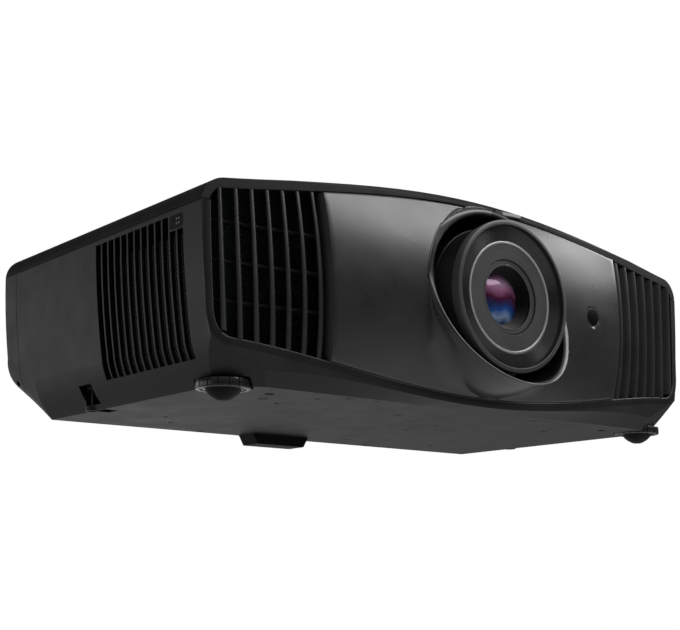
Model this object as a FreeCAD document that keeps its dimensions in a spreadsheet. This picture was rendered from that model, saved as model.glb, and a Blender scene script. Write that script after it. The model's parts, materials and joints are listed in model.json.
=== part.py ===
import FreeCAD, Part
import math
import os
import Sketcher

# A home-cinema projector in millimetres. +X is the viewer's right of the front, the front faces -Y,
# +Z is up, and the origin is under the middle of the case, on the surface that the feet stand on.

# ---------------------------------------------------------------- driving dimensions
SIZES = {
    # cross-section of the case, constant from front to back
    "half_width": 246.5, "floor_z": 8.5, "floor_half": 221.8, "bevel_top_z": 37.0, "side_lean": 8.5,
    "crown_z": 166.7, "crown_fall": 39.8, "crown_flatten": 13.6, "shoulder_radius": 18.0, "wall": 2.8,
    # where the case starts, ends and parts into its mouldings
    "floor_front_y": -114.2, "floor_back_y": 126.4, "tail_y": 168.5, "back_y": 172.25, "tail_lift": 27.0,
    "tail_share": 0.95, "tail_inset": 2.5, "tail_widen": 0.05, "tail_bevel": 0.9, "tail_round": 0.0085,
    "seam_z": 126.0, "seam_gap": 0.5, "rear_split_y": 149.0,
    # the eye-shaped front rim
    "rim_front_y": -127.6, "rim_sweep": 11.0, "rim_lean": 5.0, "rim_corner_x": 227.0, "rim_corner_z": 61.0,
    "smile_z": 9.4, "smile_rise": 45.9, "smile_flatten": 23.6, "rim_top": 6.8, "rim_bottom": 5.8,
    "rim_side": 5.5,
    # the bulged front panel and its lens cowl
    "panel_edge_y": -127.7, "panel_edge_sweep": 6.5, "bulge": 16.3, "panel_wall": 3.0,
    "panel_half_top": 154.3, "panel_top_z": 147.0, "panel_half_bottom": 147.1, "panel_bottom_z": 29.0,
    "panel_gap": 0.3, "flange_back_y": -106.0,
    "cowl_base": 73.0, "cowl_base_y": -122.0, "cowl_tip": 66.3, "cowl_tip_y": -176.0, "cowl_bore": 64.8,
    "cowl_back_y": -116.0, "cowl_edge_y": -143.2, "cowl_slope": 0.28, "cowl_curl": 0.14,
    # the fixed blades beside the front panel
    "blade_count": 7, "blade_first_x": 158.4, "blade_pitch": 12.35, "blade_wall": 2.8, "blade_lean": 0.053,
    "blade_slant": 0.73, "blade_deep": 7.5, "blade_recess": 2.5, "blade_back_y": -111.0,
    "grille_frame": 1.6, "frame_deep": 6.0,
    "rib_count": 3, "rib_low_z": 61.0, "rib_pitch": 26.5, "rib": 2.2, "screen_wall": 1.2,
    # slots in the side walls
    "slot_count": 13, "slot_pitch": 9.0, "slot_width": 7.1, "slot_front_y": -94.3, "slot_low_z": 25.5,
    "slot_high_z": 122.0, "short_slot_z": 111.2,
    # lens axis and the rings on it, from the outside in
    "lens_z": 88.5, "front_ring_y": -156.9, "front_ring": 56.9, "front_ring_lip": 52.0, "cone_y": -152.2,
    "cone": 42.05, "trim_ring": 41.9, "name_ring": 40.0, "name_ring_y": -151.6, "cell_bore": 28.2,
    "barrel_front_y": -149.0, "barrel": 41.95, "barrel_tail": 40.6, "barrel_tail_y": -97.0,
    "barrel_back_y": 8.0, "barrel_bore": 34.0, "barrel_flange": 54.0, "flange_thick": 6.0,
    "ring_bore": 42.0, "focus_ring": 55.2, "focus_ring_back_y": -128.0, "zoom_ring": 54.4,
    "zoom_ring_y": -126.5, "zoom_ring_back_y": -104.0, "focus_cell": 27.8, "focus_cell_y": -150.4,
    "focus_cell_back_y": -112.0, "front_lens": 19.6, "front_lens_y": -144.5, "front_lens_back_y": -137.0,
    "zoom_cell": 33.6, "zoom_cell_y": -96.0, "zoom_cell_back_y": -60.0, "zoom_lens": 24.0,
    "rear_lens_y": -4.0, "lens_dome": 46.0,
    # lens shift slides
    "rod": 2.2, "rod_play": 0.05, "mount_hole": 52.0, "shift_room": 7.0, "upright_x": 68.0,
    "upright_y": -34.0, "crossbar_y": -41.0, "crossbar_low_z": 42.0, "crossbar_high_z": 135.0, "knob_x": 28.0, "knob_y": -71.0, "knob": 13.0,
    "knob_z": 141.0, "knob_tall": 14.0, "knob_stem_z": 130.0,
    # lens door in the top cover
    "door_half": 62.6, "door_front_y": -111.4, "door_back_y": -38.0, "door_wall": 1.7, "door_play": 0.3,
    "door_travel": 70.0, "well_half": 58.0, "well_front_y": -94.0, "well_back_y": -47.0, "well_z": 136.0,
    "well_wall": 2.0, "well_top_z": 160.0,
    # feet
    "foot_x": 212.8, "foot_y": -95.0, "foot_wheel": 18.3, "foot_wheel_z": 7.2, "foot_wheel_top_z": 13.2,
    "foot_pad": 12.2, "foot_stem": 3.0, "foot_stem_top_z": 34.0, "foot_pocket": 19.8,
    "foot_pocket_z": 14.4, "foot_notches": 16, "foot_notch": 0.9, "nut": 5.0, "nut_top_z": 26.0,
    "rear_foot_x": -17.0, "rear_foot_half": 29.5, "rear_foot_y": 104.0, "rear_foot_deep": 21.0,
    "rear_foot_slope": 5.0,
    # ceiling-mount inserts and case screws
    "mount_x": 140.0, "mount_front_y": -55.0, "mount_back_y": 85.0, "insert": 3.2, "insert_hole": 2.0,
    "boss": 7.0, "boss_top_z": 21.0, "screw_head": 3.4, "screw_shank": 1.5, "screw_top_z": 22.0,
    "post": 5.5, "post_split_z": 24.0, "post_front_x": 172.0, "post_front_y": -90.0, "post_side_x": 222.0,
    "post_side_y": 62.0, "post_back_x": 90.0, "post_back_y": 119.0,
    # slanted plane across each lower front corner, above the foot
    "corner_x": 222.0, "corner_y": -104.0, "corner_z": 14.0, "corner_out": 0.348, "corner_ahead": -0.672,
    "corner_down": -0.651, "corner_wall": 3.0,
    # infrared window, keypad
    "ir_x": 110.9, "ir_z": 90.0, "ir_window": 7.3, "ir_front_y": -137.0, "ir_back_y": -129.0,
    "keypad_y": 62.0, "keypad_long": 70.0, "keypad_z": 80.0, "keypad_tall": 34.0, "key": 5.0,
    "key_back_x": 236.0, "key_face_x": 245.7, "arrow_pad": 13.5, "ok_key": 6.0, "key_play": 0.15,
    "key_inset": 9.0, "key_rise": 8.0, "arrow_inset": 46.0,
    # light path
    "beam_y": 70.0, "wheel_x": 97.0, "wheel_z": 112.0, "wheel": 27.0, "wheel_wall": 1.2,
    "wheel_hub": 8.0, "lamp_mouth": 22.0, "engine_foot": 6.0, "engine_foot_x": 50.0,
    "engine_foot_front_y": 36.0, "engine_foot_back_y": 86.0,
    "reflector_x": 118.0, "reflector_mouth": 25.5, "reflector_neck": 8.0, "reflector_long": 44.0,
    "motor": 9.0, "motor_shaft": 1.5, "fin_count": 9, "fin_pitch": 8.0, "fin_wall": 2.0,
    # fans
    "fan_x": 198.0, "fan_side": 92.0, "fan_deep": 25.0, "fan_y": -36.0, "fan_z": 68.5, "fan_bore": 44.0,
    "fan_hub": 17.0, "fan_tip": 42.0, "fan_blades": 7, "fan_shaft": 2.0, "fan_twist": 35.0,
}

# Rectangular pieces: low corner x, y, z, then length along X, width along Y and height along Z.
BLOCKS = {
    "tray": (-205.0, -58.0, 21.0, 410.0, 150.0, 1.5),
    "mount_plate": (-80.0, -30.0, 22.5, 160.0, 6.0, 131.0),
    "low_ear": (-80.0, -40.0, 22.5, 160.0, 10.0, 6.0),
    "high_ear": (-80.0, -40.0, 147.5, 160.0, 10.0, 6.0),
    "upright_plate": (-76.0, -37.0, 36.0, 152.0, 6.0, 105.0),
    "crossbar_ear": (70.0, -44.5, 36.5, 6.0, 7.5, 11.0),
    "cross_plate": (-60.0, -44.0, 37.0, 120.0, 6.0, 103.0),
    "engine": (-62.0, 22.0, 42.0, 124.0, 84.0, 84.0),
    "engine_room": (-59.0, 25.0, 45.0, 118.0, 78.0, 78.0),
    "tunnel": (40.0, 66.0, 84.0, 44.0, 8.0, 8.0),
    "tunnel_room": (39.0, 67.0, 85.0, 46.0, 6.0, 6.0),
    "mirror_board": (-45.0, 108.0, 52.0, 90.0, 1.6, 74.0),
    "mirror_chip": (-12.0, 104.5, 80.5, 24.0, 3.5, 16.0),
    "sink_base": (-35.0, 109.6, 56.0, 70.0, 4.0, 66.0),
    "sink_fin": (-33.0, 113.6, 56.0, 2.0, 22.0, 66.0),
    "lamp_box": (112.0, 28.0, 60.0, 90.0, 76.0, 64.0),
    "lamp_room": (114.5, 30.5, 62.5, 85.0, 71.0, 59.0),
    "motor_bracket": (110.0, 58.0, 98.0, 2.0, 24.0, 28.0),
    "supply": (106.0, 30.0, 22.5, 96.0, 76.0, 37.5),
    "board": (-190.0, 150.0, 52.0, 330.0, 1.6, 72.0),
    "socket_plate": (-160.0, 168.2, 58.0, 254.0, 1.2, 50.0),
    "socket_window": (-156.0, 160.0, 62.0, 246.0, 20.0, 42.0),
    "inlet": (164.0, 150.0, 58.0, 32.0, 21.5, 24.0),
    "inlet_room": (168.0, 156.0, 62.0, 24.0, 20.0, 16.0),
    "inlet_window": (163.8, 149.8, 57.8, 32.4, 30.0, 24.4),
    "inlet_pin": (173.0, 156.0, 66.5, 2.0, 13.0, 4.0),
    "panel_cover": (6.0, -101.0, 8.5, 126.0, 89.0, 2.8),
    "lock_side": (-240.0, 44.0, 12.0, 24.0, 18.0, 14.0),
    "lock_floor": (-221.0, 46.0, 5.0, 12.0, 14.0, 10.0),
    "lock_slot": (-260.0, 155.0, 37.5, 35.0, 7.0, 3.5),
    "screen": (226.0, -93.0, 26.0, 1.5, 116.0, 92.0),
}

# Sockets on the rear panel: x, z of the low corner, length and height.
SOCKETS = {
    "hdmi_one": (-140.0, 72.0, 16.0, 7.0),
    "hdmi_two": (-114.0, 72.0, 16.0, 7.0),
    "usb_one": (-86.0, 72.0, 14.5, 7.0),
    "usb_two": (-62.0, 72.0, 14.5, 7.0),
    "network": (-36.0, 70.0, 17.0, 14.0),
    "serial": (-6.0, 70.0, 32.0, 12.0),
    "audio": (40.0, 70.0, 12.0, 12.0),
    "trigger": (64.0, 70.0, 12.0, 12.0),
}

doc = FreeCAD.newDocument("projector")
dims = doc.addObject("Spreadsheet::Sheet", "dims")
cells = dict(SIZES)
for piece, numbers in BLOCKS.items():
    for word, number in zip(("x", "y", "z", "long", "deep", "tall"), numbers):
        cells[piece + "_" + word] = number
for piece, numbers in SOCKETS.items():
    for word, number in zip(("x", "z", "long", "tall"), numbers):
        cells[piece + "_" + word] = number
for row, (alias, number) in enumerate(cells.items(), start=1):
    dims.set("A%d" % row, alias)
    dims.set("B%d" % row, str(number))
    dims.setAlias("B%d" % row, alias)
doc.recompute()

sub_parts = {}


def size(alias):
    """The number in the sheet's cell of that name."""
    return float(dims.get(alias))


def vector(x, y, z):
    return FreeCAD.Vector(x, y, z)


def keep(piece, node):
    """Names the finished sub-part."""
    piece.Label = node
    sub_parts[node] = piece
    return piece


# ---------------------------------------------------------------- primitives bound to the sheet
TURN = {
    "x": FreeCAD.Rotation(vector(0, 1, 0), 90),
    "y": FreeCAD.Rotation(vector(1, 0, 0), -90),
    "z": FreeCAD.Rotation(),
}


def place(piece, x, y, z):
    """Binds the place of a primitive to three expressions."""
    for letter, text in zip("xyz", (x, y, z)):
        piece.setExpression(".Placement.Base." + letter, text)


def block(name, grow="0"):
    """The rectangular piece of that name, made larger by grow on every side."""
    piece = doc.addObject("Part::Box", name)
    for side, word in (("Length", "long"), ("Width", "deep"), ("Height", "tall")):
        piece.setExpression(side, "dims.%s_%s + 2 * (%s)" % (name, word, grow))
    place(piece, *["dims.%s_%s - (%s)" % (name, letter, grow) for letter in "xyz"])
    return piece


def bar(name, along, radius, start, end, at):
    """A cylinder along one axis from start to end; at holds its two other coordinates."""
    piece = doc.addObject("Part::Cylinder", name)
    piece.Placement.Rotation = TURN[along]
    piece.setExpression("Radius", radius)
    piece.setExpression("Height", "(%s) - (%s)" % (end, start))
    base = list(at)
    base.insert("xyz".index(along), start)
    place(piece, *base)
    return piece


def several(pieces, name):
    """One shape of separate solids."""
    group = doc.addObject("Part::Compound", name)
    group.Links = pieces
    return group


def join(pieces, name):
    group = doc.addObject("Part::MultiFuse", name)
    group.Shapes = pieces
    return group


def less(base, tools, name):
    """The base with every tool cut away."""
    cut = doc.addObject("Part::Cut", name)
    cut.Base = base
    cut.Tool = tools[0] if len(tools) == 1 else join(tools, name + "_tools")
    return cut


def mirrored(piece, name):
    """The same piece on the other side of the YZ plane."""
    twin = doc.addObject("Part::Mirroring", name)
    twin.Source = piece
    twin.Normal = vector(1, 0, 0)
    return twin


def solid_feature(node, shape):
    """A sub-part whose freeform shape is worked out from the sheet by the functions below."""
    piece = doc.addObject("Part::Feature", node)
    piece.Shape = shape
    piece.Placement = FreeCAD.Placement()
    return keep(piece, node)


# ---------------------------------------------------------------- sketched bodies
def plane(body, role):
    return [feature for feature in body.Origin.OriginFeatures if feature.Role == role][0]


def outline(body, role, corners):
    """A closed polygon sketch whose corners are pairs of expressions."""
    sketch = body.newObject("Sketcher::SketchObject", body.Name + "_outline")
    sketch.AttachmentSupport = [(plane(body, role), "")]
    sketch.MapMode = "FlatFace"
    count = len(corners)
    start = []
    for turn in range(count):
        angle = 2 * math.pi * turn / count
        start.append(vector(50 + 40 * math.cos(angle), 40 * math.sin(angle), 0))
    for side in range(count):
        sketch.addGeometry(Part.LineSegment(start[side], start[(side + 1) % count]), False)
    for side in range(count):
        sketch.addConstraint(Sketcher.Constraint("Coincident", side, 2, (side + 1) % count, 1))
    for side, (across, along) in enumerate(corners):
        for kind, text, value in (("DistanceX", across, start[side].x), ("DistanceY", along, start[side].y)):
            index = sketch.addConstraint(Sketcher.Constraint(kind, -1, 1, side, 1, value))
            sketch.setExpression("Constraints[%d]" % index, text)
    return sketch


def circle(body, role, radius, across="0", along="0"):
    """A sketch of one circle whose radius and centre are expressions."""
    sketch = body.newObject("Sketcher::SketchObject", body.Name + "_circle")
    sketch.AttachmentSupport = [(plane(body, role), "")]
    sketch.MapMode = "FlatFace"
    sketch.addGeometry(Part.Circle(vector(5, 5, 0), vector(0, 0, 1), 4), False)
    for kind, text, value in (("DistanceX", across, 5), ("DistanceY", along, 5)):
        index = sketch.addConstraint(Sketcher.Constraint(kind, -1, 1, 0, 3, value))
        sketch.setExpression("Constraints[%d]" % index, text)
    index = sketch.addConstraint(Sketcher.Constraint("Radius", 0, 4))
    sketch.setExpression("Constraints[%d]" % index, radius)
    return sketch


def turned(node, corners):
    """A body turned about the lens axis; its corners are radius and y."""
    body = doc.addObject("PartDesign::Body", node)
    sketch = outline(body, "XY_Plane", corners)
    spin = body.newObject("PartDesign::Revolution", node + "_spin")
    spin.Profile = sketch
    spin.ReferenceAxis = (sketch, ["V_Axis"])
    spin.Angle = 360
    body.Tip = spin
    body.setExpression(".Placement.Base.z", "dims.lens_z")
    return body


def tube(node, outer, inner, front, back):
    """A plain ring about the lens axis."""
    return turned(node, [(inner, front), (outer, front), (outer, back), (inner, back)])


# ---------------------------------------------------------------- curves of the case
def across(x):
    return (x / size("half_width")) ** 2


def crown(x):
    """Height of the top cover at x."""
    square = across(x)
    return size("crown_z") - size("crown_fall") * square + size("crown_flatten") * square ** 2


def smile(x):
    """Height of the front rim's lower edge at x."""
    square = across(x)
    return size("smile_z") + size("smile_rise") * square - size("smile_flatten") * square ** 2


def spline(points):
    curve = Part.BSplineCurve()
    curve.interpolate(points)
    return curve.toShape()


def arc(first, middle, last):
    return Part.Arc(first, middle, last).toShape()


def spread(low, high, count):
    return [low + (high - low) * step / (count - 1) for step in range(count)]


def shoulder():
    """Centre of the top corner's arc, and the angle at which it meets the crown."""
    radius = size("shoulder_radius")
    angle = math.atan(0.149)
    centre_x = size("half_width") - radius
    return centre_x, crown(centre_x + radius * math.sin(angle)) - radius * math.cos(angle), angle


def side_x(z, lean):
    """Half width at height z: the sides lean in towards the floor."""
    centre_z = shoulder()[1]
    drop = max(centre_z - z, 0) / (centre_z - size("bevel_top_z"))
    return size("half_width") - lean * drop ** 1.6


def loop(y, low, corner_low, corner_mid, corner_high, lean, inset, drop):
    """Closed outline at y, from a list of points along its lower edge and the right lower corner."""
    centre_x, centre_z, angle = shoulder()
    radius = size("shoulder_radius") - inset
    side_low = vector(*corner_high)
    side_high = vector(centre_x + radius, y, centre_z)
    side_z = (corner_high[2] + centre_z) / 2
    side_mid = vector(side_x(side_z, lean) - inset, y, side_z)
    top_mid = vector(centre_x + radius * math.cos(math.pi / 4), y, centre_z - drop + inset
                     + radius * math.sin(math.pi / 4))
    top = vector(centre_x + radius * math.sin(angle), y, centre_z - drop + inset + radius * math.cos(angle))
    right = [arc(vector(*corner_low), vector(*corner_mid), side_low), arc(side_low, side_mid, side_high),
             arc(side_high, top_mid, top)]
    left = [edge.mirror(vector(0, 0, 0), vector(1, 0, 0)) for edge in right]
    ridge = [vector(x, y, crown(x) - drop) for x in spread(top.x, -top.x, 19)]
    ridge[0] = top
    ridge[-1] = vector(-top.x, y, top.z)
    bottom = spline(low) if len(low) > 2 else Part.LineSegment(low[0], low[-1]).toShape()
    edges = [bottom] + right + [spline(ridge)] + left
    return Part.Wire(Part.__sortEdges__(edges))


def case_loop(y, inset, lift=0.0):
    """Outline of the case: flat floor, bevel, leaning side, shoulder and crown.

    Where the floor is lifted at the tail, the bevel is taller and rounder."""
    floor = size("floor_z") + lift + inset
    half = size("floor_half") + size("tail_widen") * lift - 0.6 * inset
    high_z = size("bevel_top_z") + size("tail_bevel") * lift
    high_x = side_x(high_z, size("side_lean")) - inset
    mid_share = 0.58 - size("tail_round") * lift
    mid = (high_x - 0.27 * (high_x - half), y, floor + mid_share * (high_z - floor))
    low = [vector(-half, y, floor), vector(half, y, floor)]
    return loop(y, low, (half, y, floor), mid, (high_x, y, high_z), size("side_lean"), inset, inset)


def eye_loop(y, drop, rise, inset):
    """Outline of the front rim: as the case, but with the curved lower edge."""
    half = size("rim_corner_x") - 0.8 * inset
    low = [vector(x, y, smile(x) + rise) for x in spread(-half, half, 15)]
    corner_z = size("rim_corner_z")
    high_x = side_x(corner_z, size("rim_lean")) - inset
    low_z = low[-1].z
    mid = (high_x - 0.293 * (high_x - half), y, low_z + 0.293 * (corner_z - low_z))
    return loop(y, low, (half, y, low_z), mid, (high_x, y, corner_z), size("rim_lean"), inset, drop)


def prism(wire, deep):
    return Part.Face(wire).extrude(vector(0, deep, 0))


def slab(low, high):
    """A box between two corners."""
    return Part.makeBox(high[0] - low[0], high[1] - low[1], high[2] - low[2], vector(*low))


def post_at(x, y, low, high, radius):
    return Part.makeCylinder(radius, high - low, vector(x, y, low))


def crown_strip(half, front, back, above, below):
    """A plate that follows the crown from above to below its surface."""
    upper = spline([vector(x, front, crown(x) - above) for x in spread(-half, half, 9)])
    lower = spline([vector(x, front, crown(x) - below) for x in spread(-half, half, 9)])
    ends = []
    for x in (-half, half):
        ends.append(Part.LineSegment(vector(x, front, crown(x) - above),
                                     vector(x, front, crown(x) - below)).toShape())
    wire = Part.Wire(Part.__sortEdges__([upper, lower] + ends))
    return prism(wire, back - front)


# ---------------------------------------------------------------- case mouldings
def case_solid(inset, front, back, back_inset):
    """The case filled in, with the tail that rises behind the floor."""
    sections = [case_loop(front, inset), case_loop(size("floor_back_y"), inset),
                case_loop(size("tail_y"), inset, size("tail_lift") * size("tail_share")),
                case_loop(back, back_inset, size("tail_lift"))]
    return Part.makeLoft(sections, True, True)


def rim_solid():
    """The eye-shaped rim in one piece: it runs from the case's front end to the curved front edge."""
    front = size("rim_front_y")
    body = Part.makeLoft([case_loop(size("floor_front_y"), 0), eye_loop(front, 0, 0, 0)], True, True)
    bevel = Part.makeLoft([eye_loop(front + 16, -3, -20, -3), eye_loop(front + 8, -2, -20, -2),
                           eye_loop(front - 1, 6, -20, 1)], True, True)
    nose = [vector(x, front + size("rim_sweep") * across(x), -5) for x in spread(-256, 256, 13)]
    back = size("floor_front_y")
    sides = [Part.LineSegment(nose[-1], vector(256, back + 1, -5)).toShape(),
             Part.LineSegment(vector(256, back + 1, -5), vector(-256, back + 1, -5)).toShape(),
             Part.LineSegment(vector(-256, back + 1, -5), nose[0]).toShape()]
    plan = Part.Face(Part.Wire(Part.__sortEdges__([spline(nose)] + sides))).extrude(vector(0, 0, 190))
    mouth = prism(eye_loop(front - 15, size("rim_top"), size("rim_bottom"), size("rim_side")), 60)
    return body.common(bevel).common(plan).cut(mouth)


def side_slots():
    """Cutters for the vent slots of both side walls; the two front ones stop short."""
    cutters = []
    for index in range(int(size("slot_count"))):
        front = size("slot_front_y") + index * size("slot_pitch")
        high = size("short_slot_z") if index < 2 else size("slot_high_z")
        for low_x, high_x in ((-260, -222), (222, 260)):
            cutters.append(slab((low_x, front, size("slot_low_z")),
                                (high_x, front + size("slot_width"), high)))
    return cutters


def post_places():
    return [(side * size("post_" + where + "_x"), size("post_" + where + "_y"))
            for side in (-1, 1) for where in ("front", "side", "back")]


def mount_places():
    return [(side * size("mount_x"), size(word)) for side in (-1, 1)
            for word in ("mount_front_y", "mount_back_y")]


outer = case_solid(0, size("floor_front_y"), size("back_y"), size("tail_inset"))
inner = case_solid(size("wall"), size("floor_front_y") - 10, size("back_y") - size("wall"),
                   size("tail_inset") + 2)
shell = outer.cut(inner)
rim = rim_solid()
half_gap = size("seam_gap") / 2
seam = size("seam_z")
split = size("rear_split_y")
below_seam = slab((-260, -200, -10), (260, 200, seam - half_gap))
above_seam = slab((-260, -200, seam + half_gap), (260, 200, 200))
ahead_of_split = slab((-260, -200, -10), (260, split - half_gap, 200))
behind_split = slab((-260, split + half_gap, -10), (260, 200, 200))
floor_z = size("floor_z")


def block_cutter(name, grow=0.0):
    """A box of the sheet as a plain shape."""
    low = [size(name + "_" + letter) - grow for letter in "xyz"]
    high = [size(name + "_" + letter) + size(name + "_" + word) + grow
            for letter, word in (("x", "long"), ("y", "deep"), ("z", "tall"))]
    return slab(low, high)


def keypad_window(gap):
    low_y = size("keypad_y") + gap
    low_z = size("keypad_z") + gap
    return slab((225, low_y, low_z), (260, low_y + size("keypad_long") - 2 * gap,
                                      low_z + size("keypad_tall") - 2 * gap))


def corner_room(side, depth):
    """Everything beyond the slanted plane across a lower front corner, moved inward by depth."""
    out = vector(side * size("corner_out"), size("corner_ahead"), size("corner_down"))
    start = vector(side * size("corner_x"), size("corner_y"), size("corner_z")) - out * depth
    room = Part.makeBox(120, 120, 60, vector(-60, -60, 0))
    room.Placement = FreeCAD.Placement(start, FreeCAD.Rotation(vector(0, 0, 1), out))
    return room


def make_lower_case():
    """Floor and sides up to the seam, with the lower half of the rim, foot pockets and bosses."""
    shape = shell.common(below_seam).common(ahead_of_split).fuse(rim.common(below_seam))
    adds = []
    cuts = side_slots()
    for side in (-1, 1):
        x, y = side * size("foot_x"), size("foot_y")
        adds.append(post_at(x, y, floor_z, size("foot_pocket_z") + size("wall"),
                            size("foot_pocket") + size("wall")).common(outer))
        adds.append(post_at(x, y, floor_z + 5, size("nut_top_z"), size("nut") + size("wall")))
        adds.append(corner_room(side, size("corner_wall")).common(outer))
        cuts.append(corner_room(side, 0))
        cuts.append(post_at(x, y, -5, size("foot_pocket_z"), size("foot_pocket")))
        cuts.append(slab((min(x, side * 260), -160, -5), (max(x, side * 260), y, size("foot_pocket_z"))))
        cuts.append(post_at(x, y, 0, size("nut_top_z") + 5, size("nut")))
    for x, y in mount_places():
        adds.append(post_at(x, y, floor_z, size("boss_top_z"), size("boss")))
        cuts.append(post_at(x, y, 0, size("boss_top_z") + 5, size("insert")))
    for x, y in post_places():
        adds.append(post_at(x, y, floor_z, size("post_split_z"), size("post")))
        cuts.append(post_at(x, y, 0, floor_z + 3.5, size("screw_head") + 0.2))
        cuts.append(post_at(x, y, 0, size("post_split_z") + 1, size("screw_shank")))
    cuts.append(block_cutter("panel_cover", 0.3))
    cuts.append(block_cutter("lock_side"))
    cuts.append(block_cutter("lock_floor"))
    cuts.append(keypad_window(0))
    return shape.fuse(adds).cut(cuts)


def make_top_cover():
    """Crown above the seam with the rim's upper half, the lens door's channel and the screw posts."""
    strip = size("door_wall") + size("door_play")
    half = size("door_half")
    front, back = size("door_front_y"), size("door_back_y") + size("door_travel")
    shape = shell.common(above_seam).fuse(rim.common(above_seam))
    backing = crown_strip(half + 6, front - 1, back + 6, 1.0, strip + 2.3)
    posts = []
    for x, y in post_places():
        post = post_at(x, y, size("post_split_z"), 165, size("post"))
        posts.append(post.common(outer))
    channel = crown_strip(half + 0.4, front - 0.4, back + 0.4, -6, strip)
    mouth = crown_strip(size("well_half") - 4, size("well_front_y") + 3, size("well_back_y") - 2, -6, 12)
    holes = [post_at(x, y, 0, size("screw_top_z") + 12, size("screw_shank")) for x, y in post_places()]
    return shape.fuse([backing] + posts).cut([channel, mouth] + holes)


def make_rear_cover():
    """Closed tail with the windows for the sockets and the mains inlet, and a lock slot."""
    shape = shell.common(below_seam).common(behind_split)
    return shape.cut([block_cutter("socket_window"), block_cutter("inlet_window"), block_cutter("lock_slot")])


solid_feature("lower_case", make_lower_case())
solid_feature("top_cover", make_top_cover())
solid_feature("rear_cover", make_rear_cover())


# ---------------------------------------------------------------- front panel and blades
def mouth_limits(x):
    return smile(x) + size("rim_bottom"), crown(x) - size("rim_top")


def panel_y(x, height):
    """Front surface of the panel; height is -1 at its lower edge and 1 at its upper edge."""
    edge = size("panel_edge_y") + size("panel_edge_sweep") * across(x)
    depth = size("bulge") * (1 - across(x)) ** 2
    return edge - depth * (1 - height ** 2)


def panel_face():
    rows = []
    for x in spread(-248, 248, 25):
        low, high = mouth_limits(x)
        row = []
        for height in spread(-1.3, 1.3, 13):
            z = (low + high) / 2 + height * (high - low) / 2
            row.append(vector(x, panel_y(x, height), z))
        rows.append(row)
    surface = Part.BSplineSurface()
    surface.interpolate(rows)
    return surface.toShape()


front_face = panel_face()
air = front_face.extrude(vector(0, -60, 0))


def wedge(low_half, high_half, front, back):
    """Everything between two planes that lean as the panel's ends do."""
    corners = [vector(-low_half, front, 0), vector(low_half, front, 0), vector(high_half, front, 180),
               vector(-high_half, front, 180)]
    return prism(Part.makePolygon(corners + corners[:1]), back - front)


def panel_wedge(grow, front, back):
    """The space between the panel's ends, widened by grow on each side."""
    slope = (size("panel_half_top") - size("panel_half_bottom")) / (size("panel_top_z") - size("panel_bottom_z"))
    low = size("panel_half_bottom") - slope * size("panel_bottom_z") + grow
    return wedge(low, low + slope * 180, front, back)


def mouth_prism(gap, front, back):
    wire = eye_loop(front, size("rim_top") + gap, size("rim_bottom") + gap, size("rim_side") + gap)
    return prism(wire, back - front)


def cowl_keep():
    """Everything behind the cowl's slanted, curled edge."""
    centre = size("lens_z")
    points = []
    for z in spread(4, 172, 13):
        rise = z - centre
        y = size("cowl_edge_y") + size("cowl_slope") * rise - size("cowl_curl") * rise ** 2 / 60
        points.append(vector(-90, y, z))
    back = size("cowl_back_y")
    corners = [points[-1], vector(-90, back, 172), vector(-90, back, 4), points[0]]
    sides = [Part.LineSegment(corners[i], corners[i + 1]).toShape() for i in range(3)]
    return Part.Face(Part.Wire(Part.__sortEdges__([spline(points)] + sides))).extrude(vector(180, 0, 0))


def lens_cylinder(radius, front, back):
    return Part.makeCylinder(radius, back - front, vector(0, front, size("lens_z")), vector(0, 1, 0))


def make_front_fascia():
    """Bulged panel with the lens cowl and a flange down each end."""
    mouth = mouth_prism(size("panel_gap"), -190, -104)
    panel = front_face.extrude(vector(0, size("panel_wall"), 0))
    panel = panel.common(mouth).common(panel_wedge(0, -190, -100))
    tip, base = size("cowl_tip"), size("cowl_base")
    cone = Part.makeCone(tip, base, size("cowl_base_y") - size("cowl_tip_y"),
                         vector(0, size("cowl_tip_y"), size("lens_z")), vector(0, 1, 0))
    skirt = lens_cylinder(base, size("cowl_base_y"), size("cowl_back_y"))
    cowl = cone.fuse(skirt).common(cowl_keep()).common(mouth)
    ends = panel_wedge(0, -160, size("flange_back_y")).cut(panel_wedge(-3, -160, size("flange_back_y")))
    ends = ends.common(mouth).cut(air)
    bore = lens_cylinder(size("cowl_bore"), -200, -90)
    window = Part.makeCylinder(size("ir_window") + 0.15, 30,
                               vector(size("ir_x"), -150, size("ir_z")), vector(0, 1, 0))
    return panel.fuse([cowl, ends]).cut([bore, window])


def blade(index):
    """One blade: its front edge follows the panel and leans as the panel's ends do, its back edge lies inward."""
    half = size("blade_wall") / 2
    sections = []
    for z in spread(0, 180, 13):
        middle = size("blade_first_x") + index * size("blade_pitch")
        middle += size("blade_lean") * (z - size("lens_z"))
        low, high = mouth_limits(middle)
        height = (2 * z - low - high) / (high - low)
        front = panel_y(middle, max(-1.3, min(1.3, height))) + size("blade_recess")
        inward = middle - size("blade_slant") * size("blade_deep")
        back = front + size("blade_deep")
        corners = [vector(middle - half, front, z), vector(middle + half, front, z),
                   vector(inward + half, back, z), vector(inward - half, back, z)]
        sections.append(Part.makePolygon(corners + corners[:1]))
    return Part.makeLoft(sections, True, True)


def grille_zone(gap, front, back):
    """The mouth's space on the right of the panel."""
    right = slab((100, front, 0), (260, back, 180))
    return mouth_prism(gap, front, back).common(right).cut(panel_wedge(gap, front - 1, back + 1))


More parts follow.
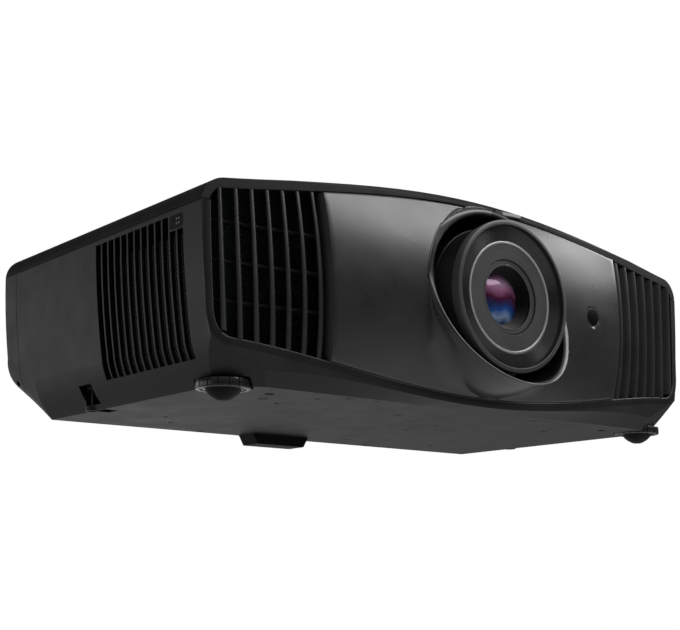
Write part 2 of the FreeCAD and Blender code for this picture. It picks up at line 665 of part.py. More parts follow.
def make_grille():
    """Seven blades on a thin frame with three cross ribs, for the right side."""
    back = size("blade_back_y")
    deep = size("frame_deep")
    blades = [blade(index) for index in range(int(size("blade_count")))]
    blades = blades[0].fuse(blades[1:]).common(grille_zone(size("panel_gap"), -160, back))
    ahead = air.translated(vector(0, size("blade_recess") + size("blade_deep") - 1, 0))
    zone = grille_zone(size("panel_gap"), back - deep, back)
    ring = zone.cut(grille_zone(size("grille_frame"), back - deep - 1, back + 1))
    ribs = []
    for index in range(int(size("rib_count"))):
        z = size("rib_low_z") + index * size("rib_pitch")
        ribs.append(slab((100, -160, z), (260, back, z + size("rib"))))
    ribs = ribs[0].fuse(ribs[1:]).common(grille_zone(size("panel_gap"), -160, back)).cut(ahead)
    return blades.fuse([ring, ribs])


def flipped(shape):
    return shape.mirror(vector(0, 0, 0), vector(1, 0, 0))


right_grille_shape = make_grille()
solid_feature("front_fascia", make_front_fascia())
solid_feature("right_grille", right_grille_shape)
solid_feature("left_grille", flipped(right_grille_shape))


def make_filters():
    """Mesh screens behind the front blades and behind the side slots."""
    back = size("blade_back_y")
    front_screen = grille_zone(1.0, back + 0.2, back + 0.2 + size("screen_wall"))
    side_screen = block_cutter("screen")
    return Part.makeCompound([front_screen, flipped(front_screen), side_screen, flipped(side_screen)])


solid_feature("filter_screens", make_filters())
solid_feature("lens_door", crown_strip(size("door_half"), size("door_front_y"), size("door_back_y"),
                                       0.0, size("door_wall")))


def make_keypad_bezel():
    """The part of the side wall that holds the keys, let into a window of the lower case."""
    plate = outer.cut(case_solid(size("wall"), size("floor_front_y") - 10, size("back_y") - 3, 6))
    plate = plate.common(keypad_window(0.25))
    holes = []
    for y, z, radius in key_places():
        holes.append(Part.makeCylinder(radius + size("key_play"), 30, vector(230, y, z), vector(1, 0, 0)))
    return plate.cut(holes)


def key_places():
    """Power key, menu key and the arrow pad: y, z and radius."""
    centre_z = size("keypad_z") + size("keypad_tall") / 2
    front = size("keypad_y")
    return [(front + size("key_inset"), centre_z + size("key_rise"), size("key")),
            (front + size("key_inset"), centre_z - size("key_rise"), size("key")),
            (front + size("arrow_inset"), centre_z, size("arrow_pad"))]


solid_feature("keypad_bezel", make_keypad_bezel())


# ---------------------------------------------------------------- bottom: panel, feet, inserts, screws
keep(block("panel_cover"), "service_panel")


def make_rear_foot():
    """Wide rubber bar with sloped ends."""
    body = doc.addObject("PartDesign::Body", "rear_foot")
    sketch = outline(body, "XZ_Plane", [
        ("dims.rear_foot_x - dims.rear_foot_half", "dims.floor_z"),
        ("dims.rear_foot_x - dims.rear_foot_half + dims.rear_foot_slope", "0"),
        ("dims.rear_foot_x + dims.rear_foot_half - dims.rear_foot_slope", "0"),
        ("dims.rear_foot_x + dims.rear_foot_half", "dims.floor_z")])
    pad = body.newObject("PartDesign::Pad", "rear_foot_pad")
    pad.Profile = sketch
    pad.Reversed = True
    pad.setExpression("Length", "dims.rear_foot_deep")
    body.Tip = pad
    body.setExpression(".Placement.Base.y", "dims.rear_foot_y")
    keep(body, "rear_foot")


make_rear_foot()


def make_foot(side, sign):
    """A notched wheel on a stud, and the domed rubber pad that swivels under it."""
    node = side + "_foot_wheel"
    body = doc.addObject("PartDesign::Body", node)
    disc = circle(body, "XY_Plane", "dims.foot_wheel")
    pad = body.newObject("PartDesign::Pad", node + "_disc")
    pad.Profile = disc
    pad.setExpression("Length", "dims.foot_wheel_top_z - dims.foot_wheel_z")
    stud_sketch = circle(body, "XY_Plane", "dims.foot_stem")
    stud = body.newObject("PartDesign::Pad", node + "_stud")
    stud.Profile = stud_sketch
    stud.setExpression("Length", "dims.foot_stem_top_z - dims.foot_wheel_z")
    notch_sketch = circle(body, "XY_Plane", "dims.foot_notch", "dims.foot_wheel + 0.3")
    notch = body.newObject("PartDesign::Pocket", node + "_notch")
    notch.Profile = notch_sketch
    notch.Type = "ThroughAll"
    notch.Midplane = True
    doc.recompute()
    ring = body.newObject("PartDesign::PolarPattern", node + "_notches")
    ring.Originals = [notch]
    ring.Axis = (plane(body, "Z_Axis"), [""])
    ring.Angle = 360
    ring.Occurrences = int(size("foot_notches"))
    body.Tip = ring
    place(body, "%s dims.foot_x" % sign, "dims.foot_y", "dims.foot_wheel_z")
    keep(body, node)
    rubber = doc.addObject("PartDesign::Body", side + "_foot_pad")
    dome = outline(rubber, "XZ_Plane", [
        ("0", "0"), ("0.28 * dims.foot_pad", "0"), ("0.45 * dims.foot_pad", "0.14 * dims.foot_wheel_z"),
        ("0.6 * dims.foot_pad", "0.28 * dims.foot_wheel_z"), ("0.77 * dims.foot_pad", "0.5 * dims.foot_wheel_z"),
        ("0.9 * dims.foot_pad", "0.75 * dims.foot_wheel_z"), ("dims.foot_pad", "dims.foot_wheel_z"),
        ("0", "dims.foot_wheel_z")])
    spin = rubber.newObject("PartDesign::Revolution", side + "_foot_pad_spin")
    spin.Profile = dome
    spin.ReferenceAxis = (dome, ["V_Axis"])
    spin.Angle = 360
    rubber.Tip = spin
    place(rubber, "%s dims.foot_x" % sign, "dims.foot_y", "0")
    keep(rubber, side + "_foot_pad")


make_foot("left", "-")
make_foot("right", "0 + ")


def make_foot_nuts():
    nuts = []
    for number, sign in enumerate(("-", "0 + ")):
        at = ("%s dims.foot_x" % sign, "dims.foot_y")
        sleeve = bar("foot_nut_%d" % number, "z", "dims.nut", "dims.foot_pocket_z + 0.2",
                     "dims.nut_top_z", at)
        hole = bar("foot_nut_hole_%d" % number, "z", "dims.foot_stem + dims.rod_play", "0",
                   "dims.nut_top_z + 5", at)
        nuts.append(less(sleeve, [hole], "foot_nut_ring_%d" % number))
    keep(several(nuts, "foot_nuts"), "foot_nuts")


make_foot_nuts()


def make_inserts():
    """Four brass inserts for a ceiling bracket, flush with the floor."""
    rings = []
    number = 0
    for sign in ("-", "0 + "):
        for word in ("mount_front_y", "mount_back_y"):
            at = ("%s dims.mount_x" % sign, "dims." + word)
            sleeve = bar("insert_%d" % number, "z", "dims.insert", "dims.floor_z", "dims.boss_top_z", at)
            hole = bar("insert_hole_%d" % number, "z", "dims.insert_hole", "dims.floor_z - 1",
                       "dims.boss_top_z + 1", at)
            rings.append(less(sleeve, [hole], "insert_ring_%d" % number))
            number += 1
    keep(several(rings, "ceiling_inserts"), "ceiling_inserts")


make_inserts()


def make_screws():
    """Six pan-head screws that pull the top cover's posts down onto the lower case."""
    screws = []
    for number, (x, y) in enumerate(post_places()):
        head = bar("screw_head_%d" % number, "z", "dims.screw_head", "dims.floor_z + 0.8",
                   "dims.floor_z + 3.5", (str(x), str(y)))
        shank = bar("screw_shank_%d" % number, "z", "dims.screw_shank", "dims.floor_z + 2",
                    "dims.screw_top_z + 8", (str(x), str(y)))
        screws.append(join([head, shank], "screw_%d" % number))
    keep(several(screws, "case_screws"), "case_screws")


make_screws()


# ---------------------------------------------------------------- lens
LENS_Y = "dims.barrel_front_y"
barrel_corners = [
    ("dims.barrel_bore", LENS_Y),
    ("dims.barrel", LENS_Y),
    ("dims.barrel", "dims.barrel_tail_y - dims.flange_thick"),
    ("dims.barrel_flange", "dims.barrel_tail_y - dims.flange_thick"),
    ("dims.barrel_flange", "dims.barrel_tail_y"),
    ("dims.barrel_tail", "dims.barrel_tail_y"),
    ("dims.barrel_tail", "dims.barrel_back_y"),
    ("dims.barrel_bore", "dims.barrel_back_y")]
keep(turned("lens_barrel", barrel_corners), "lens_barrel")
keep(tube("name_ring", "dims.name_ring", "dims.cell_bore", "dims.name_ring_y", LENS_Y), "name_ring")
keep(tube("trim_ring", "dims.trim_ring", "dims.name_ring", "dims.name_ring_y - 0.8", LENS_Y), "trim_ring")
front_ring_corners = [
    ("dims.cone", "dims.cone_y"),
    ("dims.front_ring_lip", "dims.front_ring_y + 1.4"),
    ("dims.front_ring_lip + 0.5", "dims.front_ring_y"),
    ("dims.front_ring - 0.6", "dims.front_ring_y"),
    ("dims.front_ring", "dims.front_ring_y + 0.6"),
    ("dims.front_ring", LENS_Y),
    ("dims.cone", LENS_Y)]
keep(turned("front_ring", front_ring_corners), "front_ring")
keep(tube("focus_ring", "dims.focus_ring", "dims.ring_bore", LENS_Y, "dims.focus_ring_back_y"),
     "focus_ring")
keep(tube("zoom_ring", "dims.zoom_ring", "dims.ring_bore", "dims.zoom_ring_y", "dims.zoom_ring_back_y"),
     "zoom_ring")
focus_cell_corners = [
    ("dims.front_lens", "dims.focus_cell_y + 2"),
    ("dims.front_lens + 4", "dims.focus_cell_y"),
    ("dims.focus_cell", "dims.focus_cell_y + 0.5"),
    ("dims.focus_cell", "dims.focus_cell_back_y"),
    ("dims.front_lens", "dims.focus_cell_back_y")]
keep(turned("focus_cell", focus_cell_corners), "focus_cell")
keep(tube("zoom_cell", "dims.zoom_cell", "dims.zoom_lens", "dims.zoom_cell_y", "dims.zoom_cell_back_y"),
     "zoom_cell")


def lens_element(node, radius, front, back):
    """A glass disc with a domed front: a cylinder shared with a ball."""
    disc = bar(node + "_disc", "y", radius, front, back, ("0", "dims.lens_z"))
    ball = doc.addObject("Part::Sphere", node + "_ball")
    ball.setExpression("Radius", "dims.lens_dome")
    place(ball, "0", "(%s) + dims.lens_dome" % front, "dims.lens_z")
    element = doc.addObject("Part::Common", node)
    element.Base = disc
    element.Tool = ball
    return keep(element, node)


lens_element("front_lens", "dims.front_lens", "dims.front_lens_y", "dims.front_lens_back_y")
lens_element("zoom_lens", "dims.zoom_lens", "dims.zoom_cell_y + 10", "dims.zoom_cell_y + 20")
lens_element("rear_lens", "dims.barrel_bore", "dims.rear_lens_y", "dims.rear_lens_y + 11")


# ---------------------------------------------------------------- lens shift
def upright_bars(name, radius, start, end):
    return [bar("%s_%d" % (name, number), "z", radius, start, end,
                ("%s dims.upright_x" % sign, "dims.upright_y")) for number, sign in enumerate(("-", "0 + "))]


def cross_bars(name, radius, start, end):
    return [bar("%s_%d" % (name, number), "x", radius, start, end, ("dims.crossbar_y", height))
            for number, height in enumerate(("dims.crossbar_low_z", "dims.crossbar_high_z"))]


def axis_hole(name, radius):
    return bar(name, "y", radius, "-60", "0", ("0", "dims.lens_z"))


keep(several(upright_bars("upright", "dims.rod", "dims.low_ear_z", "dims.high_ear_z + dims.high_ear_tall"),
             "vertical_guide_rods"), "vertical_guide_rods")
keep(several(cross_bars("crossbar", "dims.rod", "-76", "76"), "horizontal_guide_rods"),
     "horizontal_guide_rods")
mount_frame = join([block("mount_plate"), block("low_ear"), block("high_ear")], "mount_frame")
mount_cuts = [axis_hole("mount_hole", "dims.mount_hole")] + upright_bars("mount_rod_hole", "dims.rod", "20", "160")
keep(less(mount_frame, mount_cuts, "lens_mount_plate"), "lens_mount_plate")


def crossbar_ears():
    """Four lugs that hold the horizontal rods on the vertical carriage."""
    ears = []
    for level, lift in enumerate(("0", "dims.crossbar_high_z - dims.crossbar_low_z")):
        ear = doc.addObject("Part::Box", "ear_%d" % level)
        for side, word in (("Length", "long"), ("Width", "deep"), ("Height", "tall")):
            ear.setExpression(side, "dims.crossbar_ear_" + word)
        place(ear, "dims.crossbar_ear_x", "dims.crossbar_ear_y", "dims.crossbar_ear_z + " + lift)
        ears += [ear, mirrored(ear, "ear_twin_%d" % level)]
    return ears


carriage = join([block("upright_plate")] + crossbar_ears(), "carriage")
carriage_cuts = [axis_hole("carriage_hole", "dims.barrel_tail + dims.shift_room")]
carriage_cuts += upright_bars("carriage_rod_hole", "dims.rod + dims.rod_play", "20", "160")
carriage_cuts += cross_bars("carriage_bar_hole", "dims.rod", "-80", "80")
keep(less(carriage, carriage_cuts, "vertical_carriage"), "vertical_carriage")
slide_cuts = [axis_hole("slide_hole", "dims.barrel_tail")]
slide_cuts += cross_bars("slide_bar_hole", "dims.rod + dims.rod_play", "-80", "80")
keep(less(block("cross_plate"), slide_cuts, "horizontal_carriage"), "horizontal_carriage")


def shift_well():
    """Open tray under the lens door, with a hole for each knob's stem."""
    parts = []
    for name, gap, low, high in (("well_outside", "0", "dims.well_z", "dims.well_top_z"),
                                 ("well_inside", "dims.well_wall", "dims.well_z + dims.well_wall",
                                  "dims.well_top_z + 5")):
        piece = doc.addObject("Part::Box", name)
        piece.setExpression("Length", "2 * (dims.well_half - %s)" % gap)
        piece.setExpression("Width", "dims.well_back_y - dims.well_front_y - 2 * %s" % gap)
        piece.setExpression("Height", "(%s) - (%s)" % (high, low))
        place(piece, "%s - dims.well_half" % gap, "dims.well_front_y + %s" % gap, low)
        parts.append(piece)
    holes = [bar("stem_hole_%d" % number, "z", "dims.rod + dims.rod_play", "dims.well_z - 1",
                 "dims.well_z + 5", ("%s dims.knob_x" % sign, "dims.knob_y"))
             for number, sign in enumerate(("-", "0 + "))]
    return less(parts[0], [parts[1]] + holes, "shift_well")


keep(shift_well(), "shift_well")
for node, sign in (("vertical_shift_knob", "-"), ("horizontal_shift_knob", "0 + ")):
    at = ("%s dims.knob_x" % sign, "dims.knob_y")
    grip = bar(node + "_grip", "z", "dims.knob", "dims.knob_z", "dims.knob_z + dims.knob_tall", at)
    stem = bar(node + "_stem", "z", "dims.rod", "dims.knob_stem_z", "dims.knob_z + 1", at)
    keep(join([grip, stem], node), node)


# ---------------------------------------------------------------- light engine
def make_engine():
    feet = []
    for sign in ("-", "0 + "):
        for word in ("engine_foot_front_y", "engine_foot_back_y"):
            feet.append(bar("engine_foot_%d" % len(feet), "z", "dims.engine_foot",
                            "dims.tray_z + dims.tray_tall", "dims.engine_z + 1",
                            ("%s dims.engine_foot_x" % sign, "dims." + word)))
    casting = join([block("engine")] + feet, "engine_casting")
    lens_hole = bar("engine_lens_hole", "y", "dims.barrel_tail", "10", "30", ("0", "dims.lens_z"))
    holes = [block("engine_room"), lens_hole, block("tunnel", "0.3"), block("mirror_chip", "0.5")]
    keep(less(casting, holes, "engine_housing"), "engine_housing")


make_engine()
def copy_block(name, label):
    """A second box of the same cells, for a piece that is also used as a cutter."""
    piece = doc.addObject("Part::Box", label)
    for side, word in (("Length", "long"), ("Width", "deep"), ("Height", "tall")):
        piece.setExpression(side, "dims.%s_%s" % (name, word))
    place(piece, *["dims.%s_%s" % (name, letter) for letter in "xyz"])
    return piece


keep(less(copy_block("tunnel", "tunnel_wall"), [block("tunnel_room")], "light_tunnel"), "light_tunnel")
keep(join([block("mirror_board"), copy_block("mirror_chip", "imaging_chip")], "imaging_board"),
     "imaging_board")


def make_heat_sink():
    """Base plate with a row of fins on the imaging board's back."""
    fins = []
    for index in range(int(size("fin_count"))):
        fin = copy_block("sink_fin", "fin_%d" % index)
        fin.setExpression(".Placement.Base.x", "dims.sink_fin_x + %d * dims.fin_pitch" % index)
        fins.append(fin)
    keep(join([block("sink_base")] + fins, "heat_sink"), "heat_sink")


make_heat_sink()


def cone_bar(name, wide, narrow, start, long):
    """A cone along +X on the beam's axis."""
    piece = doc.addObject("Part::Cone", name)
    piece.Placement.Rotation = TURN["x"]
    piece.setExpression("Radius1", wide)
    piece.setExpression("Radius2", narrow)
    piece.setExpression("Height", long)
    place(piece, start, "dims.beam_y", "dims.lens_z")
    return piece


reflector_bowl = cone_bar("reflector_outside", "dims.reflector_mouth", "dims.reflector_neck",
                          "dims.reflector_x", "dims.reflector_long")
reflector_room = cone_bar("reflector_inside", "dims.reflector_mouth - 2", "dims.reflector_neck - 3",
                          "dims.reflector_x - 0.1", "dims.reflector_long + 0.2")
keep(less(reflector_bowl, [reflector_room], "lamp_reflector"), "lamp_reflector")
lamp_mouth = bar("lamp_mouth", "x", "dims.lamp_mouth", "110", "116", ("dims.beam_y", "dims.lens_z"))
keep(less(block("lamp_box"), [block("lamp_room"), lamp_mouth], "lamp_housing"), "lamp_housing")

WHEEL_AT = ("dims.beam_y", "dims.wheel_z")
wheel_disc = bar("wheel_disc", "x", "dims.wheel", "dims.wheel_x", "dims.wheel_x + dims.wheel_wall", WHEEL_AT)
wheel_hub = bar("wheel_hub", "x", "dims.wheel_hub", "dims.wheel_x - 3", "dims.wheel_x + 1", WHEEL_AT)
wheel_shaft = bar("wheel_shaft", "x", "dims.motor_shaft", "dims.wheel_x", "dims.motor_bracket_x - 2",
                  WHEEL_AT)
keep(join([wheel_disc, wheel_hub, wheel_shaft], "color_wheel"), "color_wheel")
motor_case = bar("motor_case", "x", "dims.motor", "dims.wheel_x + 2", "dims.motor_bracket_x", WHEEL_AT)
motor_bore = bar("motor_bore", "x", "dims.motor_shaft + dims.rod_play", "dims.wheel_x",
                 "dims.motor_bracket_x - 1", WHEEL_AT)
motor_body = join([motor_case, block("motor_bracket")], "motor_body")
keep(less(motor_body, [motor_bore], "color_wheel_motor"), "color_wheel_motor")


# ---------------------------------------------------------------- power, boards, sockets, tray
keep(block("supply"), "power_supply")
keep(block("board"), "main_board")
tray_holes = [bar("tray_hole_%d" % number, "z", "2.2", "dims.tray_z - 1", "dims.tray_z + 5",
                  ("%s dims.mount_x" % sign, "dims." + word))
              for number, (sign, word) in enumerate((("-", "mount_front_y"), ("0 + ", "mount_front_y"),
                                                     ("-", "mount_back_y"), ("0 + ", "mount_back_y")))]
keep(less(block("tray"), tray_holes, "chassis_tray"), "chassis_tray")


def socket_box(name, label, grow, start, end):
    """A box round one socket from start to end in y."""
    piece = doc.addObject("Part::Box", label)
    piece.setExpression("Length", "dims.%s_long + 2 * (%s)" % (name, grow))
    piece.setExpression("Height", "dims.%s_tall + 2 * (%s)" % (name, grow))
    piece.setExpression("Width", "(%s) - (%s)" % (end, start))
    place(piece, "dims.%s_x - (%s)" % (name, grow), start, "dims.%s_z - (%s)" % (name, grow))
    return piece


def make_sockets():
    """Hollow socket shells that stand on the main board and come through the rear plate."""
    front, back = "dims.board_y + dims.board_deep", "dims.socket_plate_y + 2.6"
    shells = []
    plate_holes = []
    for name in SOCKETS:
        outside = socket_box(name, name + "_outside", "0", front, back)
        inside = socket_box(name, name + "_inside", "-0.8", back + " - 10", back + " + 1")
        shells.append(less(outside, [inside], name + "_shell"))
        plate_holes.append(socket_box(name, name + "_hole", "0.2", "dims.socket_plate_y - 1", back))
    keep(several(shells, "io_sockets"), "io_sockets")
    keep(less(block("socket_plate"), plate_holes, "io_plate"), "io_plate")


make_sockets()


def make_inlet():
    """Three-pin mains inlet with its blades inside."""
    pins = []
    for number in range(3):
        pin = copy_block("inlet_pin", "inlet_pin_%d" % number)
        pin.setExpression(".Placement.Base.x", "dims.inlet_pin_x + %d * 6" % number)
        pins.append(pin)
    shell_part = less(block("inlet"), [block("inlet_room")], "inlet_shell")
    keep(join([shell_part] + pins, "power_inlet"), "power_inlet")


make_inlet()


# ---------------------------------------------------------------- window and keys
keep(bar("ir_window", "y", "dims.ir_window", "dims.ir_front_y", "dims.ir_back_y", ("dims.ir_x", "dims.ir_z")),
     "ir_window")
for number, node in enumerate(("power_button", "menu_button")):
    y, z, radius = key_places()[number]
    keep(bar(node, "x", "dims.key", "dims.key_back_x", "dims.key_face_x", (str(y), str(z))), node)
pad_y, pad_z, pad_radius = key_places()[2]
PAD_AT = (str(pad_y), str(pad_z))
arrow_disc = bar("arrow_disc", "x", "dims.arrow_pad", "dims.key_back_x", "dims.key_face_x", PAD_AT)
arrow_hole = bar("arrow_hole", "x", "dims.ok_key + dims.key_play", "230", "260", PAD_AT)
keep(less(arrow_disc, [arrow_hole], "arrow_pad"), "arrow_pad")
keep(bar("ok_button", "x", "dims.ok_key", "dims.key_back_x", "dims.key_face_x", PAD_AT), "ok_button")


# ---------------------------------------------------------------- fans
def make_fan(node):
    """Square frame with a round bore, three struts and a fixed shaft; then the bladed rotor."""
    centre = ("dims.fan_y", "dims.fan_z")
    frame = doc.addObject("Part::Box", node + "_square")
    frame.setExpression("Length", "dims.fan_deep")
    frame.setExpression("Width", "dims.fan_side")
    frame.setExpression("Height", "dims.fan_side")
    place(frame, "dims.fan_x", "dims.fan_y - dims.fan_side / 2", "dims.fan_z - dims.fan_side / 2")
    bore = bar(node + "_bore", "x", "dims.fan_bore", "dims.fan_x - 1", "dims.fan_x + dims.fan_deep + 1",
               centre)
    open_frame = less(frame, [bore], node + "_open")
    struts = []
    for number in range(3):
        strut = doc.addObject("Part::Box", "%s_strut_%d" % (node, number))
        strut.setExpression("Length", "3")
        strut.setExpression("Width", "4")
        strut.setExpression("Height", "dims.fan_bore + 1")
        strut.Placement.Rotation = FreeCAD.Rotation(vector(1, 0, 0), 120 * number + 30)
        place(strut, "dims.fan_x", "dims.fan_y", "dims.fan_z")
        struts.append(strut)
    plate = bar(node + "_plate", "x", "dims.fan_hub", "dims.fan_x", "dims.fan_x + 3", centre)
    shaft = bar(node + "_shaft", "x", "dims.fan_shaft", "dims.fan_x + 2", "dims.fan_x + 20", centre)
    fixed = join([open_frame, plate, shaft] + struts, node + "_frame")
    hub = bar(node + "_hub", "x", "dims.fan_hub", "dims.fan_x + 4", "dims.fan_x + 22", centre)
    blades = []
    for number in range(int(size("fan_blades"))):
        wing = doc.addObject("Part::Box", "%s_wing_%d" % (node, number))
        wing.setExpression("Length", "15")
        wing.setExpression("Width", "1.6")
        wing.setExpression("Height", "dims.fan_tip - dims.fan_hub + 3")
        around = FreeCAD.Rotation(vector(1, 0, 0), 360.0 * number / size("fan_blades"))
        twist = FreeCAD.Rotation(vector(0, 0, 1), size("fan_twist"))
        wing.Placement.Rotation = around.multiply(twist)
        reach = around.multVec(vector(0, 0, size("fan_hub") - 3))
        place(wing, "dims.fan_x + 6", "dims.fan_y + %f" % reach.y, "dims.fan_z + %f" % reach.z)
        blades.append(wing)
    bladed = join([hub] + blades, node + "_bladed")
    running_bore = bar(node + "_running_bore", "x", "dims.fan_shaft + dims.rod_play", "dims.fan_x",
                       "dims.fan_x + 20.5", centre)
    return fixed, less(bladed, [running_bore], node + "_rotor")


exhaust_frame, exhaust_rotor = make_fan("exhaust_fan")
keep(exhaust_frame, "exhaust_fan_frame")
keep(exhaust_rotor, "exhaust_fan_rotor")
intake_frame, intake_rotor = make_fan("intake")
keep(mirrored(intake_frame, "intake_fan_frame"), "intake_fan_frame")
keep(mirrored(intake_rotor, "intake_fan_rotor"), "intake_fan_rotor")


# ---------------------------------------------------------------- check and write
doc.recompute()
for thing in doc.Objects:
    if "Invalid" in thing.State or "Error" in thing.State:
        raise RuntimeError("%s failed: %s" % (thing.Name, thing.State))
for node, piece in sub_parts.items():
    if piece.Shape.isNull() or not piece.Shape.isValid():
        raise RuntimeError("the shape of %s is not sound" % node)

os.makedirs("parts", exist_ok=True)
for node, piece in sub_parts.items():
    piece.Shape.exportStep("parts/%s.step" % node)
print("%d sub-parts written" % len(sub_parts))
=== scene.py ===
import bpy
import bmesh
import json
import math
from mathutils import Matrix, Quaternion, Vector


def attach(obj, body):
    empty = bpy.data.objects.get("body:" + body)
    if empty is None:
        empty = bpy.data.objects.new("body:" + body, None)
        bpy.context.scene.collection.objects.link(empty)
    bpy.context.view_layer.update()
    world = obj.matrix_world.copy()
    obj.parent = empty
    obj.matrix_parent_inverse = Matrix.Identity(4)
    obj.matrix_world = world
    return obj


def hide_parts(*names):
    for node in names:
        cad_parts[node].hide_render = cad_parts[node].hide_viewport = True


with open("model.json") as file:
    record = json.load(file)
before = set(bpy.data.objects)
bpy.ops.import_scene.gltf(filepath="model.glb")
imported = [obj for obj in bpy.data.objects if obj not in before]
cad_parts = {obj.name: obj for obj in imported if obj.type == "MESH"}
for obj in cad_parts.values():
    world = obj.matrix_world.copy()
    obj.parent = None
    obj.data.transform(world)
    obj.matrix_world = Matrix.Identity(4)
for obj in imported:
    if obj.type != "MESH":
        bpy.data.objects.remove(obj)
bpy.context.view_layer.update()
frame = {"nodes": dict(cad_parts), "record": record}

nodes = frame["nodes"]

# Lengths in the helpers below are millimetres; every mesh is written in metres.
MM = 0.001
LENS_Z = 88.5
HALF_WIDTH = 246.5


# ---------------------------------------------------------------- materials
def new_material(name):
    material = bpy.data.materials.new(name)
    material.use_nodes = True
    tree = material.node_tree
    return material, tree, tree.nodes["Principled BSDF"]


def coordinates(tree, scale):
    """Object coordinates in metres, stretched."""
    place = tree.nodes.new("ShaderNodeTexCoord")
    mapping = tree.nodes.new("ShaderNodeMapping")
    mapping.inputs["Scale"].default_value = scale
    tree.links.new(place.outputs["Object"], mapping.inputs["Vector"])
    return mapping.outputs["Vector"]


def noise(tree, vector, scale, detail=3.0):
    texture = tree.nodes.new("ShaderNodeTexNoise")
    texture.inputs["Scale"].default_value = scale
    texture.inputs["Detail"].default_value = detail
    tree.links.new(vector, texture.inputs["Vector"])
    return texture.outputs["Fac"]


def ramp(tree, factor, stops):
    node = tree.nodes.new("ShaderNodeValToRGB")
    node.color_ramp.elements[0].position = stops[0][0]
    node.color_ramp.elements[0].color = stops[0][1]
    node.color_ramp.elements[1].position = stops[-1][0]
    node.color_ramp.elements[1].color = stops[-1][1]
    for position, color in stops[1:-1]:
        node.color_ramp.elements.new(position).color = color
    tree.links.new(factor, node.inputs["Fac"])
    return node.outputs["Color"]


def grey(value):
    return (value, value, value, 1.0)


def tint(color, factor):
    return tuple(min(1.0, part * factor) for part in color[:3]) + (1.0,)


def bump(tree, height, strength, distance):
    node = tree.nodes.new("ShaderNodeBump")
    node.inputs["Strength"].default_value = strength
    node.inputs["Distance"].default_value = distance
    tree.links.new(height, node.inputs["Height"])
    return node


def moulded(name, color, rough, grain=0.0004, relief=0.00004, metal=0.0, mottle=0.1, edge=0.0, coat=0.0):
    """A moulded, cast or painted surface: grain, faint mottling of colour and gloss, softened edges."""
    material, tree, shader = new_material(name)
    even = coordinates(tree, (1.0, 1.0, 1.0))
    fine = noise(tree, even, 1.0 / grain, 2.0)
    broad = noise(tree, even, 45.0, 4.0)
    tree.links.new(ramp(tree, broad, [(0.3, tint(color, 1 - mottle)), (0.7, tint(color, 1 + mottle))]),
                   shader.inputs["Base Color"])
    tree.links.new(ramp(tree, broad, [(0.3, grey(max(0.02, rough - 0.04))), (0.7, grey(rough + 0.04))]),
                   shader.inputs["Roughness"])
    lift = bump(tree, fine, 1.0, relief)
    if edge:
        rounding = tree.nodes.new("ShaderNodeBevel")
        rounding.samples = 4
        rounding.inputs["Radius"].default_value = edge
        tree.links.new(rounding.outputs["Normal"], lift.inputs["Normal"])
    tree.links.new(lift.outputs["Normal"], shader.inputs["Normal"])
    shader.inputs["Metallic"].default_value = metal
    shader.inputs["Coat Weight"].default_value = coat
    shader.inputs["Coat Roughness"].default_value = 0.12
    return material


def within(tree, value, low, high):
    """1 where the value lies between low and high, else 0."""
    node = tree.nodes.new("ShaderNodeMath")
    node.operation = "COMPARE"
    node.inputs[1].default_value = (low + high) / 2
    node.inputs[2].default_value = (high - low) / 2
    tree.links.new(value, node.inputs[0])
    return node.outputs["Value"]


def combine(tree, operation, values):
    """Folds several values together with one operation."""
    result = values[0]
    for value in values[1:]:
        node = tree.nodes.new("ShaderNodeMath")
        node.operation = operation
        tree.links.new(result, node.inputs[0])
        tree.links.new(value, node.inputs[1])
        result = node.outputs["Value"]
    return result


# Boxes, in metres, that hold the side slots (on both sides) and the lock pocket (on the left), whose walls get
# painted shade.
SLOT_X, SLOT_Y, SLOT_Z = (0.222, 0.260), (-0.0945, 0.0230), (0.0253, 0.1223)
POCKET_X, POCKET_Y, POCKET_Z = (-0.2405, -0.2060), (0.0437, 0.0623), (0.0087, 0.0263)


def paint_recess_shade(material):
    """Paints near-black shade on the walls in the vent slots and the lock pocket: those that face straight
    along an axis.
    """
    tree = material.node_tree
    place = tree.nodes.new("ShaderNodeTexCoord")
    spot = tree.nodes.new("ShaderNodeSeparateXYZ")
    facing = tree.nodes.new("ShaderNodeSeparateXYZ")
    tree.links.new(place.outputs["Object"], spot.inputs["Vector"])
    tree.links.new(place.outputs["Normal"], facing.inputs["Vector"])
    size = {}
    for letter in "XYZ":
        for source, label in ((spot, "at"), (facing, "turn")):
            node = tree.nodes.new("ShaderNodeMath")
            node.operation = "ABSOLUTE"
            tree.links.new(source.outputs[letter], node.inputs[0])
            size[label + letter] = node.outputs["Value"]
    squared = [within(tree, size["turn" + letter], 0.97, 1.03) for letter in "XYZ"]
    slots = combine(tree, "MULTIPLY", [
        within(tree, size["atX"], *SLOT_X), within(tree, spot.outputs["Y"], *SLOT_Y),
        within(tree, spot.outputs["Z"], *SLOT_Z), combine(tree, "MAXIMUM", squared[1:])])
    pocket = combine(tree, "MULTIPLY", [
        within(tree, spot.outputs["X"], *POCKET_X), within(tree, spot.outputs["Y"], *POCKET_Y),
        within(tree, spot.outputs["Z"], *POCKET_Z), combine(tree, "MAXIMUM", squared)])
    shader = tree.nodes["Principled BSDF"]
    plain = shader.inputs["Base Color"].links[0].from_socket
    blend = tree.nodes.new("ShaderNodeMix")
    blend.data_type = "RGBA"
    tree.links.new(combine(tree, "MAXIMUM", [slots, pocket]), blend.inputs[0])
    tree.links.new(plain, blend.inputs[6])
    # painted shade: the near-black that the slot and pocket walls get
    blend.inputs[7].default_value = (0.003, 0.003, 0.003, 1.0)
    tree.links.new(blend.outputs[2], shader.inputs["Base Color"])
    return material


